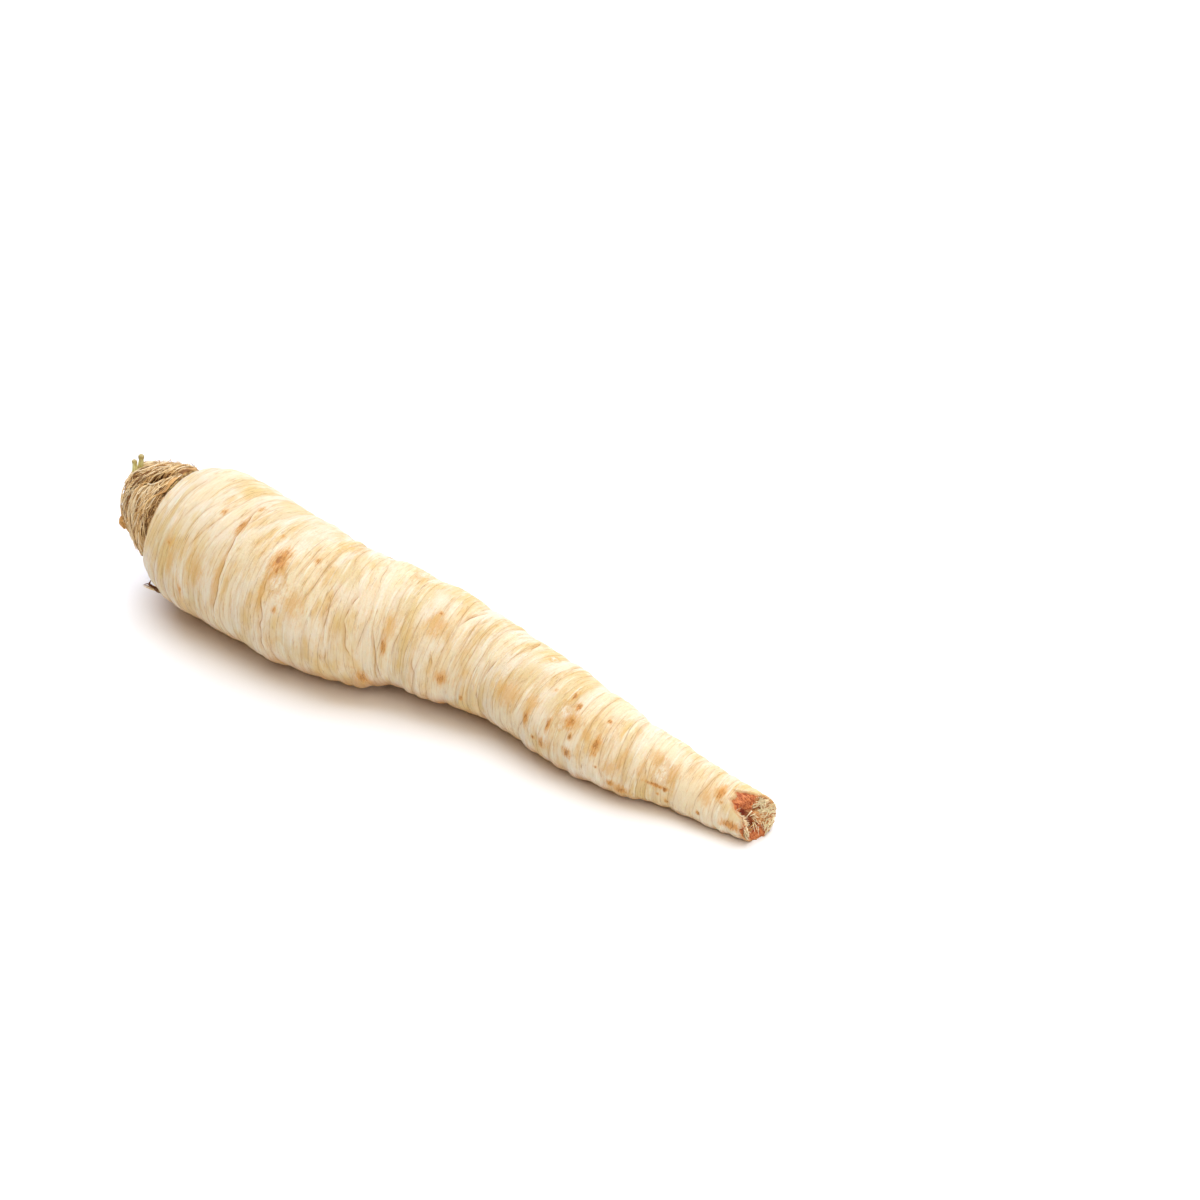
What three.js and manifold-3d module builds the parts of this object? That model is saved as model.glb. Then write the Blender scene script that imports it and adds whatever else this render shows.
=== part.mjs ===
// A root parsley (Hamburg parsley) lying on its side: a long, tapering, cream-coloured storage root.
// Millimetres, +Z up. The crown with its dry leaf bases points to -X and the broken tail to +X.
// The root rests on z = 0 with its belly and its tail; the origin is at the bottom centre of its box.
//
// Lengths along the root are measured from the seam, where the skin meets the dry collar: positive
// towards the tail, negative towards the crown. Angles round the root start at +Y and rise through +Z.

import * as THREE from "three";
import { mergeVertices } from "three/addons/utils/BufferGeometryUtils.js";
import Module from "manifold-3d";

const wasm = await Module();
wasm.setup();

// ---- Driving dimensions ----

const SKIN_LENGTH = 188; // seam to the farthest point of the broken tail
const COLLAR_HEIGHT = 12; // seam to the rim of the topmost leaf sheath
const GAP = 0.3; // clearance between neighbouring pieces
const REST_FLAT_DEPTH = 0.8; // how much the underside is flattened where the root rests

// The root's body: length from the seam, radius, sideways offset of the centre, clearance below.
const BODY_PROFILE = [
  [0, 14.2, -1.0, 8.6],
  [3, 16.8, -0.9, 5.4],
  [7, 18.7, -0.8, 2.7],
  [12, 19.8, -0.9, 0.9],
  [19, 20.0, -1.4, 0],
  [36, 19.1, -3.2, 0],
  [48, 18.7, -4.2, 0],
  [60, 17.7, -3.7, 0],
  [68, 16.7, -2.0, 0.8],
  [77, 15.5, 0.2, 1.7],
  [90, 14.5, 1.5, 1.9],
  [104, 12.8, 2.4, 1.6],
  [115, 12.2, 1.6, 1.4],
  [128, 12.1, -0.7, 0.5],
  [145, 10.7, -2.1, 0.2],
  [159, 8.5, -0.9, 0],
  [173, 7.0, -0.7, 0],
  [SKIN_LENGTH, 6.1, -0.8, 0.1],
];

// The crown stem inside the collar: height above the seam, radius.
const STEM_PROFILE = [
  [0.5, 12.4],
  [2.8, 10.7],
  [5.6, 8.9],
  [8.4, 7.4],
  [9.8, 6.4],
  [10.4, 4.6],
  [10.0, 2.0],
];

// Growth rings that can be felt: length from the seam, depth and half width.
// A positive depth is a groove, a negative one is a swollen band.
const RINGS = [
  [15, 0.3, 1.6],
  [24, 0.4, 1.7],
  [38, 0.3, 1.6],
  [46, -0.3, 2.6],
  [53, 0.45, 1.7],
  [58, 0.35, 1.6],
  [65, -0.4, 2.4],
  [71, 0.45, 1.8],
  [82, 0.3, 1.7],
  [96, 0.4, 1.8],
  [109, 0.4, 1.8],
  [121, 0.35, 1.7],
  [136, 0.4, 1.8],
  [150, 0.45, 1.8],
  [164, 0.3, 1.6],
];

// Local lumps and hollows of the skin: length from the seam, angle, height, half length, half width.
const LUMPS = [
  [73, 55, 0.9, 3.5, 4.5],
  [40, 140, -0.4, 4, 3],
  [28, 230, -0.4, 9, 8],
  [63, 230, -0.7, 3.5, 6],
  [70, 228, 0.6, 3, 6],
  [78, 230, -0.9, 4.5, 7],
  [110, 235, -0.5, 9, 6],
  [122, 150, 0.4, 7, 6],
  [137, 225, 0.5, 6, 5],
  [151, 228, 0.7, 4, 5],
  [133, 330, 0.5, 8, 6],
];

const SECTION_OVAL = 0.02; // how much wider than round the section is, as a share of the radius
const OVAL_TURN = 160; // degrees that the long side of the section turns from crown to tail

// The broken tail: the skin ends sooner on the side that faces TEAR_ANGLE.
const TEAR_SLANT = 8;
const TEAR_ANGLE = 140;
const TEAR_RAGGED = 0.5; // height of the uneven teeth round the break
const TEAR_DEPTH = 2.8; // depth of the hollow in the break

// Faces of the body.
const BODY_STEP = 2.1; // length of skin covered by one ring of faces
const BODY_SIDES = 40;
const BREAK_RINGS = [0.86, 0.62, 0.34]; // shares of the radius, rim towards the centre of the break

// The dry side rootlet low on the shoulder: a twig that points to the crown, and one fork of it.
const ROOTLET_PLACE = 7;
const ROOTLET_ANGLE = 228;
const ROOTLET_LENGTH = 4.6;
const ROOTLET_RADIUS = 0.55;
const ROOTLET_SINK = 1; // how deep the twig is rooted in the skin
const ROOTLET_RISE = 0.4; // how far its tip stands off the skin
const FORK_PLACE = 0.55; // share of the twig's length where the fork leaves it
const FORK_HEIGHT = 1.8;
const FORK_DRIFT = 0.4; // how far the fork's tip leans to the crown
const FORK_RADIUS = 0.33;
const TWIG_SIDES = 6;

// Leaf sheaths: closed outlines of the wall, height above the seam and radius, ordered up the outside
// and back down the inside. Each one opens towards the crown and wraps the foot of the next.
const LOWER_SHEATH = [
  [0.4, 14.0],
  [2.0, 13.7],
  [3.4, 13.2],
  [4.5, 12.5],
  [4.3, 11.9],
  [3.2, 11.3],
  [1.8, 11.7],
  [0.7, 12.7],
];
const MIDDLE_SHEATH = [
  [3.4, 10.8],
  [4.9, 11.5],
  [6.0, 12.3],
  [7.2, 11.7],
  [8.3, 10.9],
  [8.1, 10.2],
  [6.6, 9.6],
  [3.4, 10.5],
];
const UPPER_SHEATH = [
  [6.8, 9.2],
  [8.6, 9.8],
  [10.4, 9.6],
  [COLLAR_HEIGHT, 8.7],
  [COLLAR_HEIGHT - 0.2, 7.9],
  [9.6, 7.5],
  [6.9, 8.5],
];
const SHEATH_SIDES = 36;
const SHEATH_RIPPLE = 0.3; // waviness of a sheath's free edge
const COLLAR_BULGE = 0.05; // how far the collar swells on its upper side, as a share of the radius
const COLLAR_BULGE_ANGLE = 62;
const COLLAR_LEAN = 0.2; // rise of the rim towards the upper side, for each unit of height in the section

// Cut leaf stalks, standing up against the rim of the upper sheath.
const TALL_STALK = { angle: 92, height: 11, length: 4.7, radius: 0.6, knob: 0.75, lean: 12 };
const SHORT_STALK = { angle: 103, height: 11.3, length: 4.0, radius: 0.6, knob: 0.7, lean: 5 };
const STALK_SIDES = 10;

// The dry scrap of leaf base on the near side of the rim.
const SCRAP_ANGLE = 192;
const SCRAP_HEIGHT = 11.2;
const SCRAP_OUTLINE = [
  [-0.8, -2.1],
  [0.6, -1.8],
  [0.9, 0.3],
  [0.4, 1.9],
  [-0.5, 2.2],
  [-1.1, 0.5],
]; // along the root and round it
const SCRAP_THICKNESS = 1.5;

// ---- Finishes ----

const SKIN = new THREE.MeshStandardMaterial({ color: 0xf0dcb4, roughness: 0.62, metalness: 0 });
const DRY_SHEATH = new THREE.MeshStandardMaterial({ color: 0xbb9a6c, roughness: 0.9, metalness: 0 });
const GREEN_STALK = new THREE.MeshStandardMaterial({ color: 0xc3b45e, roughness: 0.7, metalness: 0 });
const BROWN_SCRAP = new THREE.MeshStandardMaterial({ color: 0xa8703c, roughness: 0.85, metalness: 0 });

// ---- Small tools ----

const radians = THREE.MathUtils.degToRad;

// A smooth curve through a table's rows: the value of one column at a place along the first column.
function smoothAt(table, column, place) {
  const last = table.length - 1;
  let i = 0;
  while (i < last - 1 && place > table[i + 1][0]) i++;
  const slopeAt = (k) => {
    const a = table[Math.max(k - 1, 0)];
    const b = table[Math.min(k + 1, last)];
    return (b[column] - a[column]) / (b[0] - a[0]);
  };
  const span = table[i + 1][0] - table[i][0];
  const t = (place - table[i][0]) / span;
  const from = table[i][column];
  const to = table[i + 1][column];
  const bend = t * t * (3 - 2 * t);
  const leave = t * (1 - t) * (1 - t) * slopeAt(i) * span;
  const arrive = t * t * (t - 1) * slopeAt(i + 1) * span;
  return from + (to - from) * bend + leave + arrive;
}

function bell(distance, halfWidth) {
  return Math.exp(-((distance / halfWidth) ** 2));
}

// The shorter way round from one angle to another, in degrees.
function turnBetween(a, b) {
  return ((a - b + 540) % 360) - 180;
}

// Joins rows of points into one closed surface. Every row goes once round the X axis in the same sense,
// the first and the last row close onto a single point each.
function closedSkin(startPoint, rows, endPoint) {
  const sides = rows[0].length;
  const points = [startPoint, ...rows.flat(), endPoint];
  const faces = [];
  const at = (row, side) => 1 + row * sides + (side % sides);
  const lastRow = rows.length - 1;
  const lastPoint = points.length - 1;
  for (let side = 0; side < sides; side++) {
    faces.push(0, at(0, side + 1), at(0, side));
    faces.push(lastPoint, at(lastRow, side), at(lastRow, side + 1));
  }
  for (let row = 0; row < lastRow; row++) {
    for (let side = 0; side < sides; side++) {
      const a = at(row, side);
      const b = at(row, side + 1);
      const c = at(row + 1, side + 1);
      const d = at(row + 1, side);
      faces.push(a, b, c, a, c, d);
    }
  }
  return meshGeometry(points, faces);
}

function meshGeometry(points, faces) {
  const geometry = new THREE.BufferGeometry();
  geometry.setAttribute("position", new THREE.Float32BufferAttribute(points.flat(), 3));
  geometry.setIndex(faces);
  return geometry;
}

// A geometry as a manifold-3d solid, its shared vertices merged.
function toSolid(geometry) {
  const bare = geometry.clone();
  bare.deleteAttribute("normal");
  bare.deleteAttribute("uv");
  const merged = mergeVertices(bare, 1e-4);
  const vertProperties = new Float32Array(merged.attributes.position.array);
  const triVerts = new Uint32Array(merged.index.array);
  return new wasm.Manifold(new wasm.Mesh({ numProp: 3, vertProperties, triVerts }));
}

function toGeometry(solid) {
  const mesh = solid.getMesh();
  const geometry = new THREE.BufferGeometry();
  geometry.setAttribute("position", new THREE.BufferAttribute(mesh.vertProperties, 3));
  geometry.setIndex(new THREE.BufferAttribute(mesh.triVerts, 1));
  return geometry;
}

function named(name, geometry, material) {
  const mesh = new THREE.Mesh(geometry, material);
  mesh.name = name;
  return mesh;
}

// ---- The fleshy root ----

// The middle of the section at a place along the root. The ground is at height zero.
function bodyCentre(place) {
  const radius = smoothAt(BODY_PROFILE, 1, place);
  const sideways = smoothAt(BODY_PROFILE, 2, place);
  const clearance = Math.max(smoothAt(BODY_PROFILE, 3, place), 0);
  return new THREE.Vector3(place, sideways, radius + clearance - REST_FLAT_DEPTH);
}

// The section's directions: along the root, sideways and up, square to the curving centre line.
function bodyFrame(place) {
  const reach = 0.5;
  const along = bodyCentre(place + reach).sub(bodyCentre(Math.max(place - reach, 0))).normalize();
  const sideways = new THREE.Vector3(0, 0, 1).cross(along).normalize();
  const up = along.clone().cross(sideways);
  return { along, sideways, up };
}

function bodyRadius(place, angle) {
  const turn = OVAL_TURN * (place / SKIN_LENGTH);
  const oval = 1 + SECTION_OVAL * Math.cos(radians(2 * (angle - turn)));
  const radius = smoothAt(BODY_PROFILE, 1, place) * oval;
  const rings = RINGS.reduce((sum, [start, depth, half]) => sum - depth * bell(place - start, half), 0);
  const lumps = LUMPS.reduce((sum, [along, towards, height, halfLength, halfWidth]) => {
    const across = radians(turnBetween(angle, towards)) * radius;
    return sum + height * bell(place - along, halfLength) * bell(across, halfWidth);
  }, 0);
  return radius + rings + lumps;
}

// A point of the section at a place, a distance from the centre line and an angle round it.
function sectionPoint(place, radius, angle) {
  const { along, sideways, up } = bodyFrame(Math.max(place, 0));
  const point = bodyCentre(Math.max(place, 0));
  point.addScaledVector(along, Math.min(place, 0));
  point.addScaledVector(sideways, radius * Math.cos(radians(angle)));
  point.addScaledVector(up, radius * Math.sin(radians(angle)));
  return [point.x, point.y, Math.max(point.z, 0)];
}

function skinPoint(place, angle) {
  return sectionPoint(place, bodyRadius(place, angle), angle);
}

// How far the skin reaches at an angle round the broken tail.
function tailReach(angle) {
  const facing = 0.5 + 0.5 * Math.cos(radians(angle - TEAR_ANGLE));
  const teeth = Math.sin(radians(5 * angle)) * 0.6 + Math.sin(radians(11 * angle + 40)) * 0.4;
  return SKIN_LENGTH - TEAR_SLANT * facing - TEAR_RAGGED * (1 + teeth);
}

// A row inside the break: the rim drawn in towards the middle and sunk into the root.
function breakRow(share, rim, middle) {
  const sink = TEAR_DEPTH * (1 - share ** 3);
  return rim.map(([x, y, z]) => [
    middle[0] + (x - middle[0]) * share - sink,
    middle[1] + (y - middle[1]) * share,
    middle[2] + (z - middle[2]) * share,
  ]);
}

function averagePoint(row) {
  return [0, 1, 2].map((axis) => row.reduce((sum, point) => sum + point[axis], 0) / row.length);
}

function fleshyRoot() {
  const angles = Array.from({ length: BODY_SIDES }, (_, i) => -90 + (i * 360) / BODY_SIDES);
  const steps = Math.round(SKIN_LENGTH / BODY_STEP);
  const stem = [...STEM_PROFILE]
    .reverse()
    .map(([height, radius]) => angles.map((angle) => collarPoint(height, radius, angle)));
  const skin = Array.from({ length: steps + 1 }, (_, i) =>
    angles.map((angle) => skinPoint((i / steps) * tailReach(angle), angle)),
  );
  const rim = skin[steps];
  const middle = averagePoint(rim);
  const hollow = BREAK_RINGS.map((share) => breakRow(share, rim, middle));
  const crownPoint = sectionPoint(-STEM_PROFILE.at(-1)[0], 0, 0);
  const hollowPoint = [middle[0] - TEAR_DEPTH, middle[1], middle[2]];
  return closedSkin(crownPoint, [...stem, ...skin, ...hollow], hollowPoint);
}

// A thin, slightly pointed twig between two points.
function twig(from, to, radius) {
  const length = from.distanceTo(to);
  const outline = [
    [0, 0],
    [radius, 0],
    [radius * 0.8, length * 0.5],
    [radius * 0.45, length],
    [0, length],
  ].map(([r, h]) => new THREE.Vector2(r, h));
  const geometry = new THREE.LatheGeometry(outline, TWIG_SIDES);
  const along = new THREE.Vector3().subVectors(to, from).normalize();
  const turn = new THREE.Quaternion().setFromUnitVectors(new THREE.Vector3(0, 1, 0), along);
  return geometry.applyQuaternion(turn).translate(from.x, from.y, from.z);
}

function sideRootlet() {
  const foot = new THREE.Vector3(...skinPoint(ROOTLET_PLACE, ROOTLET_ANGLE));
  const around = radians(ROOTLET_ANGLE);
  const outward = new THREE.Vector3(0, Math.cos(around), Math.sin(around));
  const start = foot.clone().addScaledVector(outward, -ROOTLET_SINK);
  const tip = foot.clone().addScaledVector(outward, ROOTLET_RISE);
  tip.x -= ROOTLET_LENGTH;
  const fork = start.clone().lerp(tip, FORK_PLACE);
  const forkTip = fork.clone().add(new THREE.Vector3(-FORK_DRIFT, 0, FORK_HEIGHT));
  forkTip.addScaledVector(outward, ROOTLET_RISE);
  const main = toSolid(twig(start, tip, ROOTLET_RADIUS));
  const side = toSolid(twig(fork, forkTip, FORK_RADIUS));
  return main.add(side);
}

function taproot() {
  const grown = toSolid(fleshyRoot()).add(sideRootlet());
  return named("taproot", toGeometry(grown), SKIN);
}

// ---- The dry collar ----

// A point of the collar. It swells on its upper side, where its rim also stands higher.
function collarPoint(height, radius, angle) {
  const lobe = Math.max(Math.cos(radians(angle - COLLAR_BULGE_ANGLE)), 0) ** 2;
  const rise = COLLAR_LEAN * height * Math.sin(radians(angle));
  return sectionPoint(-height - rise, radius * (1 + COLLAR_BULGE * lobe), angle);
}

// A leaf base: a wall of the given outline carried once round the crown, its free edge uneven.
function leafSheath(name, outline, waves, phase) {
  const low = Math.min(...outline.map(([height]) => height));
  const high = Math.max(...outline.map(([height]) => height));
  const points = [];
  for (let side = 0; side < SHEATH_SIDES; side++) {
    const angle = (side * 360) / SHEATH_SIDES;
    const wave = Math.sin(radians(waves * angle + phase));
    for (const [height, radius] of outline) {
      const edge = ((height - low) / (high - low)) ** 2;
      points.push(collarPoint(height - SHEATH_RIPPLE * edge * (0.5 + 0.5 * wave), radius, angle));
    }
  }
  const rim = outline.length;
  const faces = [];
  for (let side = 0; side < SHEATH_SIDES; side++) {
    for (let k = 0; k < rim; k++) {
      const a = side * rim + k;
      const b = side * rim + ((k + 1) % rim);
      const c = ((side + 1) % SHEATH_SIDES) * rim + ((k + 1) % rim);
      const d = ((side + 1) % SHEATH_SIDES) * rim + k;
      faces.push(a, b, c, a, c, d);
    }
  }
  return named(name, meshGeometry(points, faces), DRY_SHEATH);
}

// A cut stalk: a round stem with a slightly thicker, rounded end, standing upright on the collar.
function leafStalk(name, { angle, height, length, radius, knob, lean }) {
  const outline = [
    [0, 0],
    [radius, 0],
    [radius, length * 0.6],
    [knob, length * 0.8],
    [knob * 0.8, length * 0.95],
    [0, length],
  ].map(([r, h]) => new THREE.Vector2(r, h));
  const geometry = new THREE.LatheGeometry(outline, STALK_SIDES);
  geometry.rotateX(radians(90));
  const mesh = named(name, geometry, GREEN_STALK);
  const foot = smoothAt(UPPER_SHEATH.slice(0, 4), 1, height) + GAP;
  mesh.position.set(...collarPoint(height, foot, angle));
  mesh.rotation.y = radians(lean);
  return mesh;
}

function leafScrap() {
  const shape = new THREE.Shape(SCRAP_OUTLINE.map(([x, y]) => new THREE.Vector2(x, y)));
  const geometry = new THREE.ExtrudeGeometry(shape, { depth: SCRAP_THICKNESS, bevelEnabled: false });
  const mesh = named("dry_leaf_scrap", geometry, BROWN_SCRAP);
  const foot = smoothAt(UPPER_SHEATH.slice(0, 4), 1, SCRAP_HEIGHT) + GAP;
  mesh.position.set(...collarPoint(SCRAP_HEIGHT, foot, SCRAP_ANGLE));
  mesh.rotation.x = radians(SCRAP_ANGLE - 90);
  return mesh;
}

// ---- Assembly ----

function rootParsley() {
  const grown = new THREE.Group();
  grown.add(
    taproot(),
    leafSheath("lower_leaf_sheath", LOWER_SHEATH, 5, 30),
    leafSheath("middle_leaf_sheath", MIDDLE_SHEATH, 7, 200),
    leafSheath("upper_leaf_sheath", UPPER_SHEATH, 6, 110),
    leafStalk("tall_leaf_stalk", TALL_STALK),
    leafStalk("short_leaf_stalk", SHORT_STALK),
    leafScrap(),
  );
  const box = new THREE.Box3().setFromObject(grown, true);
  const middle = box.getCenter(new THREE.Vector3());
  grown.position.set(-middle.x, -middle.y, -box.min.z);
  const part = new THREE.Group();
  part.add(grown);
  return part;
}

export default rootParsley();
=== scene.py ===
"""A root parsley on a pale floor: cream skin with growth rings, a dry fibrous collar and a torn tail."""

import itertools
import math

import bpy
import numpy as np
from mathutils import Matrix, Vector


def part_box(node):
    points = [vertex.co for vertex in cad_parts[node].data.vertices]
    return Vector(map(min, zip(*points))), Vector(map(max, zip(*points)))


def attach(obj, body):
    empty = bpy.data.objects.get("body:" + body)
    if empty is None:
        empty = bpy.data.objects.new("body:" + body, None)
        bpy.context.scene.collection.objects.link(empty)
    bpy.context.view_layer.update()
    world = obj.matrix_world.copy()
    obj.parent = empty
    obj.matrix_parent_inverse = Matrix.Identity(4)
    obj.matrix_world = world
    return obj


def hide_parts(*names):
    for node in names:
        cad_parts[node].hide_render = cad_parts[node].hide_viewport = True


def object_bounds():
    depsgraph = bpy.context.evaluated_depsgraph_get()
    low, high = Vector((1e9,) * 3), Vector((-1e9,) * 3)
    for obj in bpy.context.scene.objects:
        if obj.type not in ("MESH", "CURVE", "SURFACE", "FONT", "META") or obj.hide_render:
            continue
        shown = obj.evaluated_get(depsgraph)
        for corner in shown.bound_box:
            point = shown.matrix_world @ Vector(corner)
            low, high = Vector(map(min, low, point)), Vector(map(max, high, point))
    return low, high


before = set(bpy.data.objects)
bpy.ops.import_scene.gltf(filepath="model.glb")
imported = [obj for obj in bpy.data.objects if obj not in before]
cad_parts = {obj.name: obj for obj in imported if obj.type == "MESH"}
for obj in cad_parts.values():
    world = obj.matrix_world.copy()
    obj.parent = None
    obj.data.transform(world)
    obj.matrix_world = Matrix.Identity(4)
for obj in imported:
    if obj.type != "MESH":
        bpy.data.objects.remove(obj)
CAD_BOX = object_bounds()

# ---- Dimensions, in millimetres and degrees. Places are lengths along the root from the collar's seam, and
# angles go round it from its far side over its top. ----

MM = 0.001
SKIN_LENGTH = 188
COLLAR_HEIGHT = 12
TAIL_RADIUS = 6.1
REST_FLAT_DEPTH = 0.8
NEAR_SIDE = 138  # about the angle that faces the camera

# Place, radius, sideways offset of the centre, clearance below.
BODY_PROFILE = [
    (0, 14.2, -1.0, 8.6),
    (3, 16.8, -0.9, 5.4),
    (7, 18.7, -0.8, 2.7),
    (12, 19.8, -0.9, 0.9),
    (19, 20.0, -1.4, 0),
    (36, 19.1, -3.2, 0),
    (48, 18.7, -4.2, 0),
    (60, 17.7, -3.7, 0),
    (68, 16.7, -2.0, 0.8),
    (77, 15.5, 0.2, 1.7),
    (90, 14.5, 1.5, 1.9),
    (104, 12.8, 2.4, 1.6),
    (115, 12.2, 1.6, 1.4),
    (128, 12.1, -0.7, 0.5),
    (145, 10.7, -2.1, 0.2),
    (159, 8.5, -0.9, 0),
    (173, 7.0, -0.7, 0),
    (SKIN_LENGTH, TAIL_RADIUS, -0.8, 0.1),
]
# Growth rings that can be felt: place, depth, half width.
RINGS = [
    (15, 0.3, 1.6), (24, 0.4, 1.7), (38, 0.3, 1.6), (46, -0.3, 2.6), (53, 0.45, 1.7),
    (58, 0.35, 1.6), (65, -0.4, 2.4), (71, 0.45, 1.8), (82, 0.3, 1.7), (96, 0.4, 1.8),
    (109, 0.4, 1.8), (121, 0.35, 1.7), (136, 0.4, 1.8), (150, 0.45, 1.8), (164, 0.3, 1.6),
]  # fmt: skip
# Lumps and hollows: place, angle, height, half length, half width.
LUMPS = [
    (73, 55, 0.9, 3.5, 4.5),
    (40, 140, -0.4, 4, 3),
    (28, 230, -0.4, 9, 8),
    (63, 230, -0.7, 3.5, 6),
    (70, 228, 0.6, 3, 6),
    (78, 230, -0.9, 4.5, 7),
    (110, 235, -0.5, 9, 6),
    (122, 150, 0.4, 7, 6),
    (137, 225, 0.5, 6, 5),
    (151, 228, 0.7, 4, 5),
    (133, 330, 0.5, 8, 6),
]
SECTION_OVAL = 0.02
OVAL_TURN = 160

# The CAD's broken tail: how far its edge slants, at which angle it lies furthest back, height of its teeth.
TEAR_SLANT = 8
TEAR_ANGLE = 140
TEAR_RAGGED = 0.5
# The skin's torn edge here: angle, how far it stops short of the longest point.
TORN_EDGE = [
    (0, 0.5), (30, 1.4), (60, 3.2), (80, 5.0), (90, 7.4), (97, 8.4), (110, 7.6), (124, 8.0), (136, 6.8),
    (146, 5.0), (156, 3.2), (168, 2.8), (178, 3.6), (190, 3.8), (205, 3.2), (225, 2.4), (250, 1.8),
    (280, 0.6), (320, 0.3), (360, 0.5),
]  # fmt: skip
# Hollows in the break: sideways and up from its middle, half width, half height, slant, depth.
BREAK_HOLLOWS = [
    (-0.8, -0.7, 1.2, 3.4, -0.25, 2.4),
    (1.9, 1.2, 1.2, 0.5, -0.5, 1.5),
    (1.4, -3.2, 0.5, 1.0, 0.3, 0.9),
]
# How far behind the longest point the flesh lies in the break's middle, and how far it slants to its sides.
BREAK_DEPTH = 3.9
BREAK_SLANT = 3.0
# Strands of torn flesh. They end short of the longest point and of the tail's outside.
STRANDS_END = SKIN_LENGTH - 0.7
STRANDS_RADIUS = TAIL_RADIUS - 0.25
FRAYED_TUFTS = 130
TUFT_STRANDS = 7
# Short strands on the skin's torn edge: how many, how far from its middle and between which angles.
LIP_STRANDS = 48
LIP_RADIUS = 5.6
LIP_ANGLES = (140, 172)
# Thick strands left hanging over the hollow: their two ends, sideways and up from the break's middle.
HANGING_STRANDS = [((-1.0, 2.9), (-3.0, 1.6)), ((0.3, -1.9), (-1.8, -3.2)), ((0.6, 0.6), (-1.2, 0.9))]
HANGING_DEPTH = 3.6
TORN_SEED = 71

# The crown stem inside the collar: height above the seam, radius.
STEM_PROFILE = [
    (-0.2, 13.4), (-0.5, 13.0), (-0.3, 12.4), (0.5, 11.9), (2.8, 10.6), (5.6, 8.8), (8.4, 7.4), (9.8, 6.4),
    (10.4, 4.6), (10.0, 2.0),
]  # fmt: skip
# The seam slants: how far it lies up the root, at the angle where it lies furthest up.
SEAM_SLANT = 0.95
SEAM_ANGLE = 215
# Where the collar swells or falls in: angle, half width in degrees, from height, to height, by how much.
COLLAR_SWELLS = [(98, 26, 7.0, 10.0, 0.045), (178, 40, 3.0, 7.0, -0.065)]
COLLAR_BULGE = 0.05
COLLAR_BULGE_ANGLE = 62
COLLAR_LEAN = 0.2

# Walls of the leaf sheaths: height above the seam and radius, up the outside and back down the inside.
LOWER_SHEATH = [
    (0.9, 13.0), (2.0, 13.4), (3.4, 13.0), (4.5, 12.4), (4.4, 11.8), (3.2, 11.3), (1.8, 11.6), (1.0, 12.2),
]  # fmt: skip
MIDDLE_SHEATH = [
    (3.4, 10.8), (4.9, 11.4), (6.0, 12.1), (7.2, 11.6), (8.3, 10.8), (8.1, 10.2), (6.6, 9.6), (3.4, 10.3),
]  # fmt: skip
UPPER_SHEATH = [(6.8, 9.2), (8.6, 9.8), (10.4, 9.9), (11.9, 9.4), (11.8, 8.6), (9.6, 7.5), (6.9, 8.5)]
UPPER_OUTSIDE = UPPER_SHEATH[:4]
# Name, wall, lowest and highest fibre, how many fibres and stray hairs, seed.
SHEATHS = [
    ("lower_leaf_sheath", LOWER_SHEATH, 0.4, 4.6, 330, 60, 41),
    ("middle_leaf_sheath", MIDDLE_SHEATH, 4.2, 8.6, 330, 90, 42),
    ("upper_leaf_sheath", UPPER_SHEATH, 7.8, 11.8, 300, 90, 43),
]
# What the fibres lie on: height above the seam and radius, over all three sheaths.
COLLAR_OUTSIDE = [
    (0.8, 13.1), (2.0, 13.5), (3.4, 13.2), (4.5, 12.5), (6.0, 12.3), (7.2, 11.8), (8.3, 11.0), (9.4, 10.2),
    (10.4, 10.1), (11.9, 9.5),
]  # fmt: skip
HIGHEST_FIBRE = COLLAR_HEIGHT - 0.3
# The open hollow where the middle sheath leaves the lower one: height, angle, rise for each degree,
# half height and half width in degrees, depth.
HOLLOW = (4.1, 99, 0.14, 1.05, 15, 3.2)
# The crevice along the seam, dark with painted shade on the fibres beside it: where it opens and where it
# closes again, and how high that painted shade reaches.
CREVICE = ((102, 112), (150, 195))
CREVICE_SHADE = (0.8, 2.2)
# Broken fibres cross it between these angles and lie on these heights and radii.
CROSSED = (92, 232)
CROSSING_FIBRES = 170
SEAM_OUTSIDE = [(-1.4, 13.5), (-0.2, 13.3), (0.8, 13.2), (2.2, 13.4)]
# Fibres that stand out: sheath, thickness, and points (height, angle, how far it stands off).
LOOSE_FIBRES = [
    ("lower_leaf_sheath", 0.15, [(5.6, 115, 0.2), (3.9, 113, 0.5), (2.9, 109, 0.5), (2.1, 102, 0.2)]),
    ("upper_leaf_sheath", 0.12, [(10.9, 114, 0.1), (10.6, 108, 0.9), (9.8, 103, 0.9), (8.5, 103, 0.1)]),
    ("upper_leaf_sheath", 0.08, [(9.4, 128, 0.1), (10.2, 150, 0.5), (10.8, 168, 1.2)]),
    ("middle_leaf_sheath", 0.1, [(4.6, 74, 0.1), (5.2, 84, 0.7), (6.4, 92, 1.0), (7.6, 96, 0.3)]),
]

# Cut stalks: name, angle, height on the collar, length, radius, knob's radius, lean, seed.
STALKS = [
    ("tall_leaf_stalk", 92, 11.0, 4.7, 0.68, 0.8, 12, 51),
    ("short_leaf_stalk", 103, 11.3, 4.0, 0.66, 0.72, 5, 52),
]
# How far the stalks and the scrap stand off the upper sheath's wall: they are sunk into its fibres.
FOOT_GAP = -0.4

SCRAP_ANGLE = 192
SCRAP_HEIGHT = 11.2
SCRAP_HALF_LENGTH = 1.0
SCRAP_HALF_WIDTH = 2.1
SCRAP_THICKNESS = 2.3
SCRAP_SEED = 31

ROOTLET_PLACE = 7
ROOTLET_ANGLE = 221
ROOTLET_BEHIND = (20, 40, 40)  # a place inside the root, away from which the rootlet's strands face
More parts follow.
